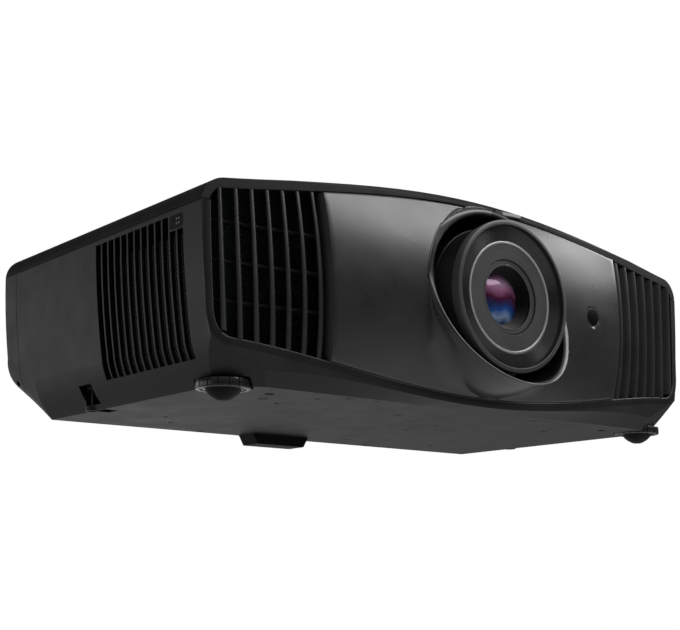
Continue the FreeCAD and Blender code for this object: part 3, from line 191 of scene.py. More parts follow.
def brushed(name, color, rough, stretch, metal=1.0):
    """Metal with fine scratches along one direction."""
    material, tree, shader = new_material(name)
    lines = noise(tree, coordinates(tree, stretch), 900.0, 4.0)
    tree.links.new(ramp(tree, lines, [(0.3, tint(color, 0.82)), (0.7, tint(color, 1.1))]),
                   shader.inputs["Base Color"])
    tree.links.new(ramp(tree, lines, [(0.3, grey(rough - 0.07)), (0.7, grey(rough + 0.08))]),
                   shader.inputs["Roughness"])
    tree.links.new(bump(tree, lines, 0.6, 0.00002).outputs["Normal"], shader.inputs["Normal"])
    shader.inputs["Metallic"].default_value = metal
    return material


def coated_glass(name):
    """The front lens: a dark, deep glass with a painted reflection of its coating: pink above, blue below, and
    a pale painted highlight low down.
    """
    material, tree, shader = new_material(name)
    place = coordinates(tree, (1.0, 1.0, 1.0))
    split = tree.nodes.new("ShaderNodeSeparateXYZ")
    tree.links.new(place, split.inputs["Vector"])
    height = tree.nodes.new("ShaderNodeMapRange")
    height.inputs["From Min"].default_value = (LENS_Z - 19.0) * MM
    height.inputs["From Max"].default_value = (LENS_Z + 19.0) * MM
    tree.links.new(split.outputs["Z"], height.inputs["Value"])
    swirl = noise(tree, place, 55.0, 3.0)
    shift = tree.nodes.new("ShaderNodeMath")
    shift.operation = "MULTIPLY_ADD"
    shift.inputs[1].default_value = 0.34
    tree.links.new(swirl, shift.inputs[0])
    tree.links.new(height.outputs["Result"], shift.inputs[2])
    # Painted reflection of the coating: deep blue low down with a pale painted highlight, dark red in the
    # middle, pink above.
    stops = [(0.16, (0.02, 0.07, 0.30, 1)), (0.30, (0.45, 0.62, 0.95, 1)), (0.42, (0.04, 0.16, 0.62, 1)),
             (0.56, (0.05, 0.06, 0.22, 1)), (0.68, (0.13, 0.02, 0.06, 1)), (0.82, (0.55, 0.20, 0.42, 1)),
             (1.00, (0.74, 0.46, 0.68, 1)), (1.14, (0.42, 0.20, 0.40, 1))]
    stops = [(min(1.0, position / 1.2), color) for position, color in stops]
    scaled = tree.nodes.new("ShaderNodeMath")
    scaled.operation = "DIVIDE"
    scaled.inputs[1].default_value = 1.2
    tree.links.new(shift.outputs["Value"], scaled.inputs[0])
    tree.links.new(ramp(tree, scaled.outputs["Value"], stops), shader.inputs["Base Color"])
    shader.inputs["Roughness"].default_value = 0.12
    shader.inputs["Metallic"].default_value = 0.1
    shader.inputs["Specular IOR Level"].default_value = 0.25
    return material


def clear_glass(name, color):
    material, tree, shader = new_material(name)
    haze = noise(tree, coordinates(tree, (1.0, 1.0, 1.0)), 60.0)
    tree.links.new(ramp(tree, haze, [(0.3, tint(color, 0.9)), (0.7, tint(color, 1.05))]),
                   shader.inputs["Base Color"])
    shader.inputs["Transmission Weight"].default_value = 0.85
    shader.inputs["Roughness"].default_value = 0.03
    shader.inputs["IOR"].default_value = 1.52
    return material


def circuit(name):
    """Solder mask over faint tracks."""
    material, tree, shader = new_material(name)
    tracks = tree.nodes.new("ShaderNodeTexBrick")
    tracks.inputs["Scale"].default_value = 90.0
    tracks.inputs["Mortar Size"].default_value = 0.02
    tracks.inputs["Color1"].default_value = (0.010, 0.060, 0.028, 1)
    tracks.inputs["Color2"].default_value = (0.012, 0.075, 0.035, 1)
    tracks.inputs["Mortar"].default_value = (0.03, 0.13, 0.06, 1)
    tree.links.new(coordinates(tree, (1.0, 1.0, 1.0)), tracks.inputs["Vector"])
    tree.links.new(tracks.outputs["Color"], shader.inputs["Base Color"])
    shader.inputs["Roughness"].default_value = 0.35
    return material


CASE = moulded("case_plastic", (0.030, 0.030, 0.031), 0.44, grain=0.00055, relief=0.00005, edge=0.0006)
# The lower case, with painted shade in its vent slots and lock pocket.
CASE_SLOT_SHADE = paint_recess_shade(moulded("case_plastic_vented", (0.030, 0.030, 0.031), 0.44, grain=0.00055,
                                     relief=0.00005, edge=0.0006))
# A darker copy of the case plastic: painted shade for the band round the mouth.
RIM_PAINTED_SHADE = moulded("case_plastic_rim", (0.019, 0.019, 0.0195), 0.46, grain=0.00055, relief=0.00005)
FASCIA = moulded("fascia_paint", (0.130, 0.130, 0.131), 0.30, grain=0.0003, relief=0.000008, metal=0.6,
                 mottle=0.04, coat=0.05)
BLADE = moulded("grille_plastic", (0.056, 0.056, 0.057), 0.36, relief=0.00002, mottle=0.08)
MESH = moulded("screen_mesh", (0.040, 0.041, 0.041), 0.5, relief=0.00003, mottle=0.12)
TEAL_MESH = moulded("screen_mesh_tinted", (0.036, 0.056, 0.056), 0.45, relief=0.00003, mottle=0.12)
WINDOW = moulded("dark_window", (0.006, 0.005, 0.007), 0.3, relief=0.000004, mottle=0.2)
RUBBER = moulded("rubber_black", (0.005, 0.005, 0.0052), 0.5, grain=0.0007, relief=0.00006, edge=0.0005)
FOOT = moulded("foot_plastic", (0.040, 0.040, 0.041), 0.2, relief=0.00001, mottle=0.08, edge=0.0003, coat=0.5)
BRASS = brushed("brass_insert", (0.11, 0.085, 0.045), 0.4, (1, 1, 6))
for soft, level in ((WINDOW, 0.12), (RUBBER, 0.25)):
    soft.node_tree.nodes["Principled BSDF"].inputs["Specular IOR Level"].default_value = level
SCREW = brushed("screw_steel", (0.16, 0.16, 0.17), 0.34, (6, 1, 1))
SHEET = brushed("sheet_steel", (0.50, 0.51, 0.53), 0.36, (1, 1, 8))
CAST = moulded("cast_metal", (0.36, 0.37, 0.39), 0.48, grain=0.0008, relief=0.00008, metal=1.0)
LENS_BLACK = moulded("lens_black", (0.005, 0.005, 0.0052), 0.45, relief=0.00003)
RING = moulded("lens_ring", (0.170, 0.170, 0.172), 0.36, relief=0.00001, metal=0.25, mottle=0.05, edge=0.0002)
CONE = moulded("grooved_cone", (0.120, 0.120, 0.121), 0.26, relief=0.00001, metal=0.5, mottle=0.05)
KNURL = moulded("knurled_ring", (0.034, 0.034, 0.035), 0.34, relief=0.00001, mottle=0.1)
TRIM = brushed("bright_trim", (0.95, 0.95, 0.96), 0.22, (1, 8, 1), 0.15)
# The front lens's colour is a painted reflection of its coating.
GLASS_PAINTED_REFLECTION = coated_glass("coated_glass")
REAR_GLASS = clear_glass("rear_glass", (0.75, 0.80, 0.95, 1))
MIRROR = brushed("tunnel_mirror", (0.88, 0.88, 0.90), 0.1, (8, 1, 1))
CIRCUIT = circuit("circuit_board")
FILTER = clear_glass("filter_glass", (0.95, 0.70, 0.35, 1))
MOTOR = moulded("motor_black", (0.022, 0.022, 0.024), 0.45, relief=0.00004)
SOCKET = brushed("socket_metal", (0.55, 0.56, 0.58), 0.28, (1, 6, 1))
KEYS = moulded("key_plastic", (0.070, 0.070, 0.073), 0.4, relief=0.00002, edge=0.0004)
MARK = moulded("pale_mark", (0.42, 0.42, 0.43), 0.5, relief=0.00001)

SLOT_MATERIALS = {
    "case_plastic": CASE, "fascia_paint": FASCIA, "grille_plastic": BLADE, "screen_mesh": MESH,
    "dark_window": WINDOW, "rubber_black": RUBBER, "foot_plastic": FOOT, "brass_insert": BRASS,
    "screw_steel": SCREW, "sheet_steel": SHEET, "cast_metal": CAST, "lens_black": LENS_BLACK,
    "lens_ring": RING, "knurled_ring": KNURL, "bright_trim": TRIM, "coated_glass": GLASS_PAINTED_REFLECTION,
    "tunnel_mirror": MIRROR, "circuit_board": CIRCUIT, "filter_glass": FILTER, "motor_black": MOTOR,
    "socket_metal": SOCKET, "key_plastic": KEYS,
}


# ---------------------------------------------------------------- mesh helpers
def mesh_piece(name, points, faces, material, body, replaced=(), sharp=32.0, marks=None):
    """A new piece from points in millimetres. marks holds a material index for each face."""
    mesh = bpy.data.meshes.new(name)
    mesh.from_pydata([(x * MM, y * MM, z * MM) for x, y, z in points], [], faces)
    materials = material if isinstance(material, (list, tuple)) else [material]
    for one in materials:
        mesh.materials.append(one)
    if marks:
        mesh.polygons.foreach_set("material_index", marks)
    work = bmesh.new()
    work.from_mesh(mesh)
    bmesh.ops.remove_doubles(work, verts=work.verts, dist=1e-6)
    bmesh.ops.dissolve_degenerate(work, edges=work.edges, dist=1e-7)
    bmesh.ops.recalc_face_normals(work, faces=work.faces)
    work.to_mesh(mesh)
    work.free()
    mesh.polygons.foreach_set("use_smooth", [True] * len(mesh.polygons))
    mesh.set_sharp_from_angle(angle=math.radians(sharp))
    piece = bpy.data.objects.new(name, mesh)
    bpy.context.scene.collection.objects.link(piece)
    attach(piece, body)
    if replaced:
        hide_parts(*replaced)
    return piece


def grid_faces(rows, columns, wrap_rows=False, wrap_columns=False, base=0):
    faces = []
    for row in range(rows if wrap_rows else rows - 1):
        for column in range(columns if wrap_columns else columns - 1):
            after, beside = (row + 1) % rows, (column + 1) % columns
            faces.append((base + row * columns + column, base + row * columns + beside,
                          base + after * columns + beside, base + after * columns + column))
    return faces


def lathe(name, profile, material, body, replaced=(), count=144, axis="lens", centre=(0, 0), wave=None,
          marks=None, sharp=32.0):
    """Turns a closed profile of (radius, along) about the lens axis or an upright axis through centre."""
    points = []
    for step in range(count):
        angle = 2 * math.pi * step / count
        for index, (radius, along) in enumerate(profile):
            reach = radius if wave is None else wave(radius, along, angle)
            if axis == "lens":
                points.append((reach * math.sin(angle), along, LENS_Z + reach * math.cos(angle)))
            else:
                points.append((centre[0] + reach * math.cos(angle), centre[1] + reach * math.sin(angle),
                               along))
    faces = grid_faces(count, len(profile), wrap_rows=True, wrap_columns=True)
    pattern = None
    if marks:
        pattern = [marks[index] for step in range(count) for index in range(len(profile))]
    return mesh_piece(name, points, faces, material, body, replaced, sharp, pattern)


# ---------------------------------------------------------------- curves of the case, as in the CAD
def curve_point(first, middle, last, share):
    """A point of the curve that leaves first towards middle and arrives at last."""
    one, two, three = (1 - share) ** 2, 2 * share * (1 - share), share ** 2
    return (one * first[0] + two * middle[0] + three * last[0],
            one * first[1] + two * middle[1] + three * last[1])


def across(x):
    return (x / HALF_WIDTH) ** 2


def crown(x):
    square = across(x)
    return 166.7 - 39.8 * square + 13.6 * square ** 2


def smile(x):
    square = across(x)
    return 9.4 + 45.9 * square - 23.6 * square ** 2


def mouth(x):
    """Lower and upper edge of the opening in the front rim."""
    return smile(x) + 5.8, crown(x) - 6.8


def rim_y(x):
    """The rim's front face."""
    return -127.6 + 11.0 * across(x)


def panel_y(x, z):
    """The front panel's surface."""
    low, high = mouth(x)
    height = max(-1.25, min(1.25, (2 * z - low - high) / (high - low)))
    return -127.7 + 6.5 * across(x) - 16.3 * (1 - across(x)) ** 2 * (1 - height ** 2)


def panel_end(z):
    return 147.1 + (154.3 - 147.1) * (z - 29.0) / (147.0 - 29.0)


def side_half(z):
    """Half width of the rim at height z."""
    return 246.5 - 5.0 * (max(142.0 - z, 0.0) / 105.0) ** 1.6


# ---------------------------------------------------------------- front panel with its lens cowl
COWL_BORE = 64.8
GAP = 0.45
TOP_GAP = 1.0
FLANGE_Y = -111.0
# The infrared window's middle, and the reach (in metres) of the hole cut for it in the panel.
IR_X, IR_Z = 110.9, 90.0
IR_HOLE = 0.0052


def cowl_radius(y):
    return 66.3 + (y + 176.0) * (73.0 - 66.3) / 54.0


def cowl_edge(z):
    rise = z - LENS_Z
    return -143.2 + 0.28 * rise - 0.14 * rise ** 2 / 60.0


def panel_rim_points():
    """Points round the panel's outline, closer together above and below the lens."""
    points = []
    long, short = 96, 22
    for step in range(long):
        place = 2 * step / long - 1
        x = 0.45 * place + 0.55 * place ** 3
        points.append(("top", x))
    for step in range(short):
        points.append(("right", 1 - 2 * step / short))
    for step in range(long):
        place = 1 - 2 * step / long
        points.append(("bottom", 0.45 * place + 0.55 * place ** 3))
    for step in range(short):
        points.append(("left", 2 * step / short - 1))
    outline = []
    for side, share in points:
        if side in ("top", "bottom"):
            end = panel_end(147.0) if side == "top" else panel_end(29.0)
            x = share * (end - GAP)
            low, high = mouth(x)
            outline.append((x, high - TOP_GAP if side == "top" else low + GAP))
        else:
            sign = 1 if side == "right" else -1
            low = mouth(panel_end(29.0))[0] + GAP
            high = mouth(panel_end(147.0))[1] - GAP
            z = (low + high) / 2 + share * (high - low) / 2
            outline.append((sign * (panel_end(z) - GAP), z))
    return outline


def fascia_profile(edge_x, edge_z):
    """One radial strip from inside the cowl's bore over its lip and across the panel to (edge_x, edge_z)."""
    reach = math.hypot(edge_x, edge_z - LENS_Z)
    cos, sin = edge_x / reach, (edge_z - LENS_Z) / reach

    def surface(radius):
        return panel_y(radius * cos, LENS_Z + radius * sin)

    lip_y = cowl_edge(LENS_Z + COWL_BORE * sin)
    wall = cowl_radius(lip_y) - COWL_BORE
    foot = cowl_radius(surface(72.0))
    stand = surface(foot) - lip_y
    flare = 1.8 + 2.2 * max(0.0, cos)
    strip = [(COWL_BORE, -116.0), (COWL_BORE, lip_y + 6.0)]
    for step in range(1, 7):
        turn = step / 6 * math.pi / 2
        strip.append((COWL_BORE + flare * (1 - math.cos(turn)), lip_y + 3.0 * (1 - math.sin(turn))))
    round_deep = min(0.9 * wall, 0.55 * stand)
    for step in range(1, 7):
        turn = step / 6 * math.pi / 2
        radius = COWL_BORE + flare + (wall - flare) * math.sin(turn)
        strip.append((radius, lip_y + round_deep * (1 - math.cos(turn))))
    start_y = lip_y + round_deep
    top_y = surface(foot)
    fillet = max(0.5, min(11.0, 0.85 * (top_y - start_y), 0.8 * (reach - 1.5 - foot)))
    begin_y = top_y - fillet
    for step in range(1, 5):
        y = start_y + (begin_y - start_y) * step / 5
        strip.append((cowl_radius(y), y))
    first = (cowl_radius(begin_y), begin_y)
    last = (foot + fillet, surface(foot + fillet))
    for step in range(9):
        strip.append(curve_point(first, (foot, top_y), last, step / 8))
    inner = foot + fillet
    for step in range(1, 23):
        radius = inner + (reach - 0.9 - inner) * step / 22
        strip.append((radius, surface(radius)))
    edge = surface(reach)
    strip += [(reach - 0.35, edge + 0.12), (reach - 0.08, edge + 0.45), (reach, edge + 1.0),
              (reach, edge + 5.0), (reach, FLANGE_Y)]
    return [(radius * cos, y, LENS_Z + radius * sin) for radius, y in strip]


def make_fascia():
    strips = [fascia_profile(x, z) for x, z in panel_rim_points()]
    points = [point for strip in strips for point in strip]
    faces = grid_faces(len(strips), len(strips[0]), wrap_rows=True)
    columns = len(strips[0]) - 1
    outline = panel_rim_points()
    marks = []
    for index in range(len(faces)):
        column = index % columns
        x, z = outline[index // columns]
        # Under the finger plate the lip and the top of the cowl are black: painted shadow of the plate.
        catch_shadow = z > LENS_Z and 1.0 < x < 50.0
        if column < (27 if catch_shadow else 2):
            marks.append(1)
        else:
            marks.append(2 if column >= columns - 2 else 0)
    piece = mesh_piece("front_panel", points, faces, [FASCIA, LENS_BLACK, RING], "chassis",
                       ["front_fascia"], 50.0, marks)
    hole_through(piece)
    wall = piece.modifiers.new("wall", "SOLIDIFY")
    wall.thickness = 0.0012
    wall.offset = -1.0
    return piece


def hole_through(piece):
    """Opens the panel behind the infrared window."""
    work = bmesh.new()
    work.from_mesh(piece.data)
    gone = []
    for face in work.faces:
        middle = face.calc_center_median()
        reach = math.hypot(middle.x - IR_X * MM, middle.z - IR_Z * MM)
        if middle.y < -0.12 and reach < IR_HOLE:
            gone.append(face)
    bmesh.ops.delete(work, geom=gone, context="FACES")
    work.to_mesh(piece.data)
    work.free()


make_fascia()


def make_window():
    """The infrared window: a gloss lens in a thin collar that stands just proud of the panel."""
    points = []
    count = 64
    rings = [(7.25, 0.9), (7.25, -0.2), (7.2, -0.35), (7.05, -0.4), (6.95, -0.3), (5.0, -0.45), (2.5, -0.54),
             (0.02, -0.56)]
    for step in range(count):
        angle = 2 * math.pi * step / count
        for radius, lift in rings:
            x, z = IR_X + radius * math.cos(angle), IR_Z + radius * math.sin(angle)
            points.append((x, panel_y(x, z) + lift, z))
    faces = grid_faces(count, len(rings), wrap_rows=True)
    marks = [0 if index % (len(rings) - 1) < 3 else 1 for index in range(len(faces))]
    mesh_piece("infrared_window", points, faces, [FASCIA, WINDOW], "chassis", ["ir_window"],
               40.0, marks)


make_window()


# ---------------------------------------------------------------- blades beside the panel
def blade_middle(index, z):
    return 158.4 + 12.35 * index + 0.053 * (z - LENS_Z)


def blade_strip(index, sign):
    """One slanted blade with a rounded front edge, from the mouth's lower edge to its upper edge."""
    middle_low, middle_high = blade_middle(index, 40.0), blade_middle(index, 145.0)
    low = mouth(middle_low)[0] + 0.4
    high = mouth(middle_high)[1] - 0.4
    if index >= 5:
        low = max(low, 41.0 if index == 6 else 36.0)
    points = []
    rows = 26
    for row in range(rows):
        z = low + (high - low) * row / (rows - 1)
        half = 2.3 - 0.6 * row / (rows - 1)
        section = [(-half, 7.5), (-half, 1.6), (-0.8 * half, 0.5), (-0.35 * half, 0.06), (0.35 * half, 0.06),
                   (0.8 * half, 0.5), (half, 1.6), (half, 7.5)]
        middle = blade_middle(index, z)
        front = panel_y(middle, z) + 2.5
        for side, back in section:
            points.append((sign * (middle + side - 0.73 * back), front + back, z))
    faces = grid_faces(rows, len(section), wrap_columns=True)
    faces += [tuple(range(len(section))), tuple(range((rows - 1) * len(section), rows * len(section)))]
    return points, faces


def bar_strip(z, sign):
    """A level rib behind the blades that ties them to the frame; its front follows the panel's curve."""
    points = []
    columns = 24
    for column in range(columns):
        x = (panel_end(z) + 0.6) + (side_half(z) - 6.2 - panel_end(z) - 0.6) * column / (columns - 1)
        front = min(panel_y(x, z) + 9.2, -113.0)
        for y, rise in ((-111.3, 0.1), (front + 0.4, 0.1), (front, 0.5), (front, 1.6), (front + 0.4, 2.0),
                        (-111.3, 2.0)):
            points.append((sign * x, y, z + rise))
    faces = grid_faces(columns, 6, wrap_columns=True)
    faces += [tuple(range(6)), tuple(range((columns - 1) * 6, columns * 6))]
    return points, faces


def gather(parts):
    points, faces = [], []
    for some_points, some_faces in parts:
        base = len(points)
        points += some_points
        faces += [tuple(index + base for index in face) for face in some_faces]
    return points, faces


def make_grille(sign, name, node):
    parts = [blade_strip(index, sign) for index in range(7)]
    blade_faces = sum(len(faces) for points, faces in parts)
    parts += [bar_strip(z, sign) for z in (61.0, 87.5, 114.0)]
    points, faces = gather(parts)
    marks = [0] * blade_faces + [1] * (len(faces) - blade_faces)
    mesh_piece(name, points, faces, [BLADE, MESH], "chassis", [node], 45.0, marks)


make_grille(-1, "left_blades", "left_grille")
make_grille(1, "right_blades", "right_grille")


# ---------------------------------------------------------------- perforated screens
def lattice(low_u, high_u, low_v, high_v, step):
    """Centres of diamonds of half diagonal step that tile a rectangle."""
    rows = int((high_v - low_v) / step)
    columns = int((high_u - low_u) / (2 * step))
    for row in range(rows + 1):
        for column in range(columns + 1):
            yield low_u + 2 * step * column + (step if row % 2 else 0), low_v + step * row


def perforated(cells, step, open_share, thick, lift):
    """A sheet made of diamonds with a hole in each; lift turns (u, v, depth) into a point."""
    points, faces = [], []
    corners = ((1, 0), (0, 1), (-1, 0), (0, -1))
    for u, v in cells:
        base = len(points)
        for depth in (0.0, thick):
            for share in (1.0, open_share):
                for across_u, along_v in corners:
                    points.append(lift(u + across_u * step * share, v + along_v * step * share, depth))
        for index in range(4):
            beside = (index + 1) % 4
            faces.append((base + index, base + beside, base + 4 + beside, base + 4 + index))
            faces.append((base + 8 + index, base + 8 + beside, base + 12 + beside, base + 12 + index))
            faces.append((base + 4 + index, base + 4 + beside, base + 12 + beside, base + 12 + index))
    return points, faces


def make_screens():
    parts = []
    marks = []
    step = 1.62
    for sign in (-1, 1):
        cells = []
        for x, z in lattice(146.0, 244.0, 10.0, 160.0, step):
            low, high = mouth(x)
            corner = x > 218.0 and z < 40.0 + 1.3 * (x - 226.0)
            if low - 2.0 < z < high + 2.0 and panel_end(z) - 0.5 < x < side_half(z) - 3.4 and not corner:
                cells.append((x, z))
        parts.append(perforated(cells, step, 0.70, 0.7, lambda u, v, d, s=sign: (s * u, -110.6 + d, v)))
        for x, z in cells:
            tinted = sign < 0 and blade_middle(5, z) - 8.0 < x < blade_middle(6, z) - 8.0
            marks += [1 if tinted else 0] * 12
        cells = list(lattice(-91.0, 21.0, 28.0, 117.0, step))
        parts.append(perforated(cells, step, 0.62, 0.7, lambda u, v, d, s=sign: (s * (227.5 - d), u, v)))
        marks += [0] * 12 * len(cells)
    points, faces = gather(parts)
    mesh_piece("mesh_screens", points, faces, [MESH, TEAL_MESH], "chassis", ["filter_screens"],
               30.0, marks)


make_screens()


# ---------------------------------------------------------------- lens rings
def grooved(first, last, count, deep):
    """Profile points of fine turned grooves between two (radius, y) places."""
    points = []
    for index in range(count):
        share = index / count
        radius = first[0] + (last[0] - first[0]) * share
        y = first[1] + (last[1] - first[1]) * share
        pitch_r, pitch_y = (last[0] - first[0]) / count, (last[1] - first[1]) / count
        points += [(radius, y), (radius + 0.55 * pitch_r, y + 0.55 * pitch_y + deep)]
    return points


cone = grooved((42.3, -152.2), (52.6, -153.9), 12, 0.45)
front_ring = [(42.05, -149.0), (42.05, -152.1)] + cone
front_ring += [(52.8, -154.0), (53.3, -156.6), (53.7, -156.9), (56.2, -156.9), (56.7, -156.6), (56.9, -156.0),
               (56.9, -153.0), (56.3, -152.4), (56.3, -149.0)]
ring_marks = [0] * 2 + [2] * (len(cone) - 1) + [1] * 2 + [0] * 8
lathe("front_ring_turned", front_ring, [RING, KNURL, CONE], "focus", ["front_ring"], count=192,
      marks=ring_marks)


def knurled(name, radius, front, back, rows, node, body, line):
    """A grip ring of small pyramids, with a plain bead at each end."""
    count = 220
    low = radius - 0.85
    points, faces = [], []
    start, stop = front + 1.6, back - 1.6
    tall = (stop - start) / rows

    def on_ring(turn, share, reach):
        angle = 2 * math.pi * turn / count
        return (reach * math.sin(angle), start + tall * share, LENS_Z + reach * math.cos(angle))

    for row in range(2 * rows - 1):
        for column in range(count):
            middle = column + (0.5 if row % 2 else 0.0)
            base = len(points)
            points += [on_ring(middle - 0.5, (row + 1) / 2, low), on_ring(middle, row / 2, low),
                       on_ring(middle + 0.5, (row + 1) / 2, low), on_ring(middle, row / 2 + 1, low),
                       on_ring(middle, (row + 1) / 2, radius)]
            faces += [(base + corner, base + (corner + 1) % 4, base + 4) for corner in range(4)]
    profile = [(42.2, front), (radius - 0.3, front), (radius, front + 0.3), (radius, front + 1.1),
               (radius - 0.3, front + 1.4), (low - 0.02, start), (low - 0.02, stop),
               (radius - 0.3, back - 1.4), (radius, back - 1.1), (radius, back - 0.3), (radius - 0.3, back),
               (42.2, back)]
    base = len(points)
    for step in range(count):
        angle = 2 * math.pi * step / count
        for reach, y in profile:
            points.append((reach * math.sin(angle), y, LENS_Z + reach * math.cos(angle)))
    ring_faces = grid_faces(count, len(profile), wrap_rows=True, wrap_columns=True, base=base)
    marks = [0] * len(faces)
    for index in range(len(ring_faces)):
        marks.append(1 if line and index % len(profile) in (8, 9) else 0)
    mesh_piece(name, points, faces + ring_faces, [KNURL, RING], body, [node], 25.0, marks)


knurled("focus_grip", 55.2, -149.0, -128.0, 12, "focus_ring", "focus", True)
knurled("zoom_grip", 54.4, -126.5, -104.0, 12, "zoom_ring", "zoom", False)

name_profile = [(28.2, -149.0), (28.2, -151.3), (28.5, -151.6), (39.6, -151.6), (39.95, -151.3),
                (39.95, -149.0)]
lathe("name_ring_turned", name_profile, RING, "lens", ["name_ring"])
trim_profile = [(40.05, -149.0), (40.05, -151.7), (40.2, -152.15), (40.6, -152.4), (41.2, -152.4),
                (41.65, -152.15), (41.85, -151.7), (41.85, -149.0)]
lathe("trim_ring_turned", trim_profile, TRIM, "lens", ["trim_ring"])


def make_ticks():
    """Plain raised ticks round the name ring, in two groups."""
    parts = []
    for middle in (0.0, math.pi):
        for index in range(-9, 10):
            angle = middle + index * 0.075
            long = 2.4 if index % 3 == 0 else 1.3
            corners = []
            for reach in (34.0 - long, 34.0):
                for turn in (-0.0045, 0.0045):
                    corners.append((reach, angle + turn))
            points = []
            for y in (-151.55, -151.78):
                for reach, turn in corners:
                    shrink = 0.0 if y > -151.6 else 0.0012 * (1 if turn < angle else -1)
                    place = turn + shrink
                    points.append((reach * math.sin(place), y, LENS_Z + reach * math.cos(place)))
            parts.append((points, [(0, 1, 5, 4), (1, 3, 7, 5), (3, 2, 6, 7), (2, 0, 4, 6), (4, 5, 7, 6)]))
    points, faces = gather(parts)
    mesh_piece("scale_ticks", points, faces, MARK, "lens", sharp=20.0)


make_ticks()

cell_profile = [(27.75, -112.0), (27.75, -150.0), (27.5, -150.35), (27.0, -150.4), (25.6, -150.4),
                (25.4, -150.1), (25.1, -150.1), (24.9, -150.35), (23.7, -150.35), (23.4, -150.0)]
cell_marks = [0] * 9 + [1]
# The front-facing ledges of the baffle steps take the lighter knurl material as painted highlight arcs; the
# rest of the baffles is black.
for step in range(6):
    radius, y = 23.3 - 0.78 * step, -149.4 + 1.3 * step
    cell_profile += [(radius, y), (radius, y + 1.1), (radius - 0.45, y + 1.15)]
    cell_marks += [1, 2, 1]
cell_profile += [(18.5, -141.6), (19.65, -141.2), (19.65, -112.0)]
cell_marks += [1] * 3


def notched(radius, along, angle):
    """Two thin cuts at the top and bottom of the cell's front edge."""
    near = min(abs(math.sin(angle / 2)), abs(math.cos(angle / 2)))
    return radius - (0.5 if near < 0.012 and along < -150.2 else 0.0)


lathe("focus_cell_turned", cell_profile, [RING, LENS_BLACK, KNURL], "focus_group",
      ["focus_cell"], count=180, wave=notched, marks=cell_marks)

dome = 46.0
lens_profile = []
for step in range(13):
    radius = 19.55 * step / 12
    lens_profile.append((max(radius, 0.001), -144.5 + dome - math.sqrt(dome ** 2 - radius ** 2)))
lens_profile += [(19.55, -137.2), (0.001, -137.2)]
lathe("front_lens_ground", lens_profile, GLASS_PAINTED_REFLECTION, "focus_group", ["front_lens"], count=96,
      sharp=40.0)


# ---------------------------------------------------------------- feet
FOOT_X, FOOT_Y = 212.8, -95.0


def fluted(radius, along, angle):
    """Shallow hollows round the wheel's rim."""
    if radius < 17.0:
        return radius
    return radius - 0.85 * max(0.0, math.cos(16 * angle)) ** 40


def make_foot(side, sign):
    wheel = [(0.01, 7.2), (3.0, 7.2), (12.4, 7.2), (13.2, 7.3), (13.6, 8.0), (15.4, 8.0), (15.8, 7.3),
             (17.4, 7.2), (18.05, 7.45), (18.3, 8.0), (18.3, 12.6), (18.05, 13.05), (17.4, 13.2), (6.0, 13.2),
             (3.0, 13.5), (2.9, 34.0), (0.01, 34.0)]
    lathe(side + "_wheel", wheel, FOOT, side + "_foot_screw", [side + "_foot_wheel"],
          count=320, axis="upright", centre=(sign * FOOT_X, FOOT_Y), wave=fluted, sharp=38.0)
    pad = [(0.01, 0.0), (3.0, 0.05), (4.4, 0.5)]
    for step in range(1, 9):
        height = 0.6 + 6.55 * step / 8
        pad.append((math.sqrt(13.9 ** 2 - (13.9 - height) ** 2), height))
    pad.append((0.01, 7.15))
    lathe(side + "_dome", pad, RUBBER, side + "_foot", [side + "_foot_pad"], count=96,
          axis="upright", centre=(sign * FOOT_X, FOOT_Y), sharp=50.0)


make_foot("left", -1)
make_foot("right", 1)


# ---------------------------------------------------------------- small details
def rounded_plate(name, width, tall, corner, deep, place, right, up, out, material, body, bevel=0.3):
    """A thin plate with rounded corners and a bevelled front; right, up and out are its directions."""
    outline = []
    for centre_u, centre_v, start in ((1, 1, 0), (-1, 1, 90), (-1, -1, 180), (1, -1, 270)):
        for step in range(7):
            angle = math.radians(start + 15 * step)
            outline.append((centre_u * (width / 2 - corner) + corner * math.cos(angle),
                            centre_v * (tall / 2 - corner) + corner * math.sin(angle)))
    rings = [(1.0, 0.0), (1.0, deep - bevel), (None, deep)]
    points = []
    right, up, out = Vector(right).normalized(), Vector(up).normalized(), Vector(out).normalized()
    for share, rise in rings:
        for u, v in outline:
            if share is None:
                u, v = u * (1 - 2 * bevel / width), v * (1 - 2 * bevel / tall)
            point = Vector(place) + right * u + up * v + out * rise
            points.append(tuple(point))
    count = len(outline)
    faces = grid_faces(3, count, wrap_columns=True)
    faces += [tuple(range(count)), tuple(range(2 * count, 3 * count))]
    return mesh_piece(name, points, faces, material, body, sharp=25.0)


def side_frame(y, z, sign):
    """Place and directions of the case's side wall at (y, z)."""
    def wall(height):
        return 246.5 - 8.5 * (max(127.6 - height, 0.0) / 90.6) ** 1.6
    slope = wall(z + 0.5) - wall(z - 0.5)
    up = Vector((sign * slope, 0, 1)).normalized()
    out = Vector((sign, 0, -slope)).normalized()
    return Vector((sign * (wall(z) - 0.25), y, z)), up, out


place, up, out = side_frame(-86.3, 117.0, -1)
rounded_plate("status_window", 16.4, 9.6, 2.4, 0.3, place, (0, -1, 0), up, out, WINDOW, "chassis",
              bevel=0.12)
for index in range(4):
    spot, up, out = side_frame(-89.6 + 2.7 * (index % 2), 118.6 - 3.0 * (index // 2), -1)
    rounded_plate("status_mark_%d" % index, 1.3, 1.5, 0.6, 0.42, spot, (0, -1, 0), up, out, MARK, "chassis",
                  bevel=0.1)


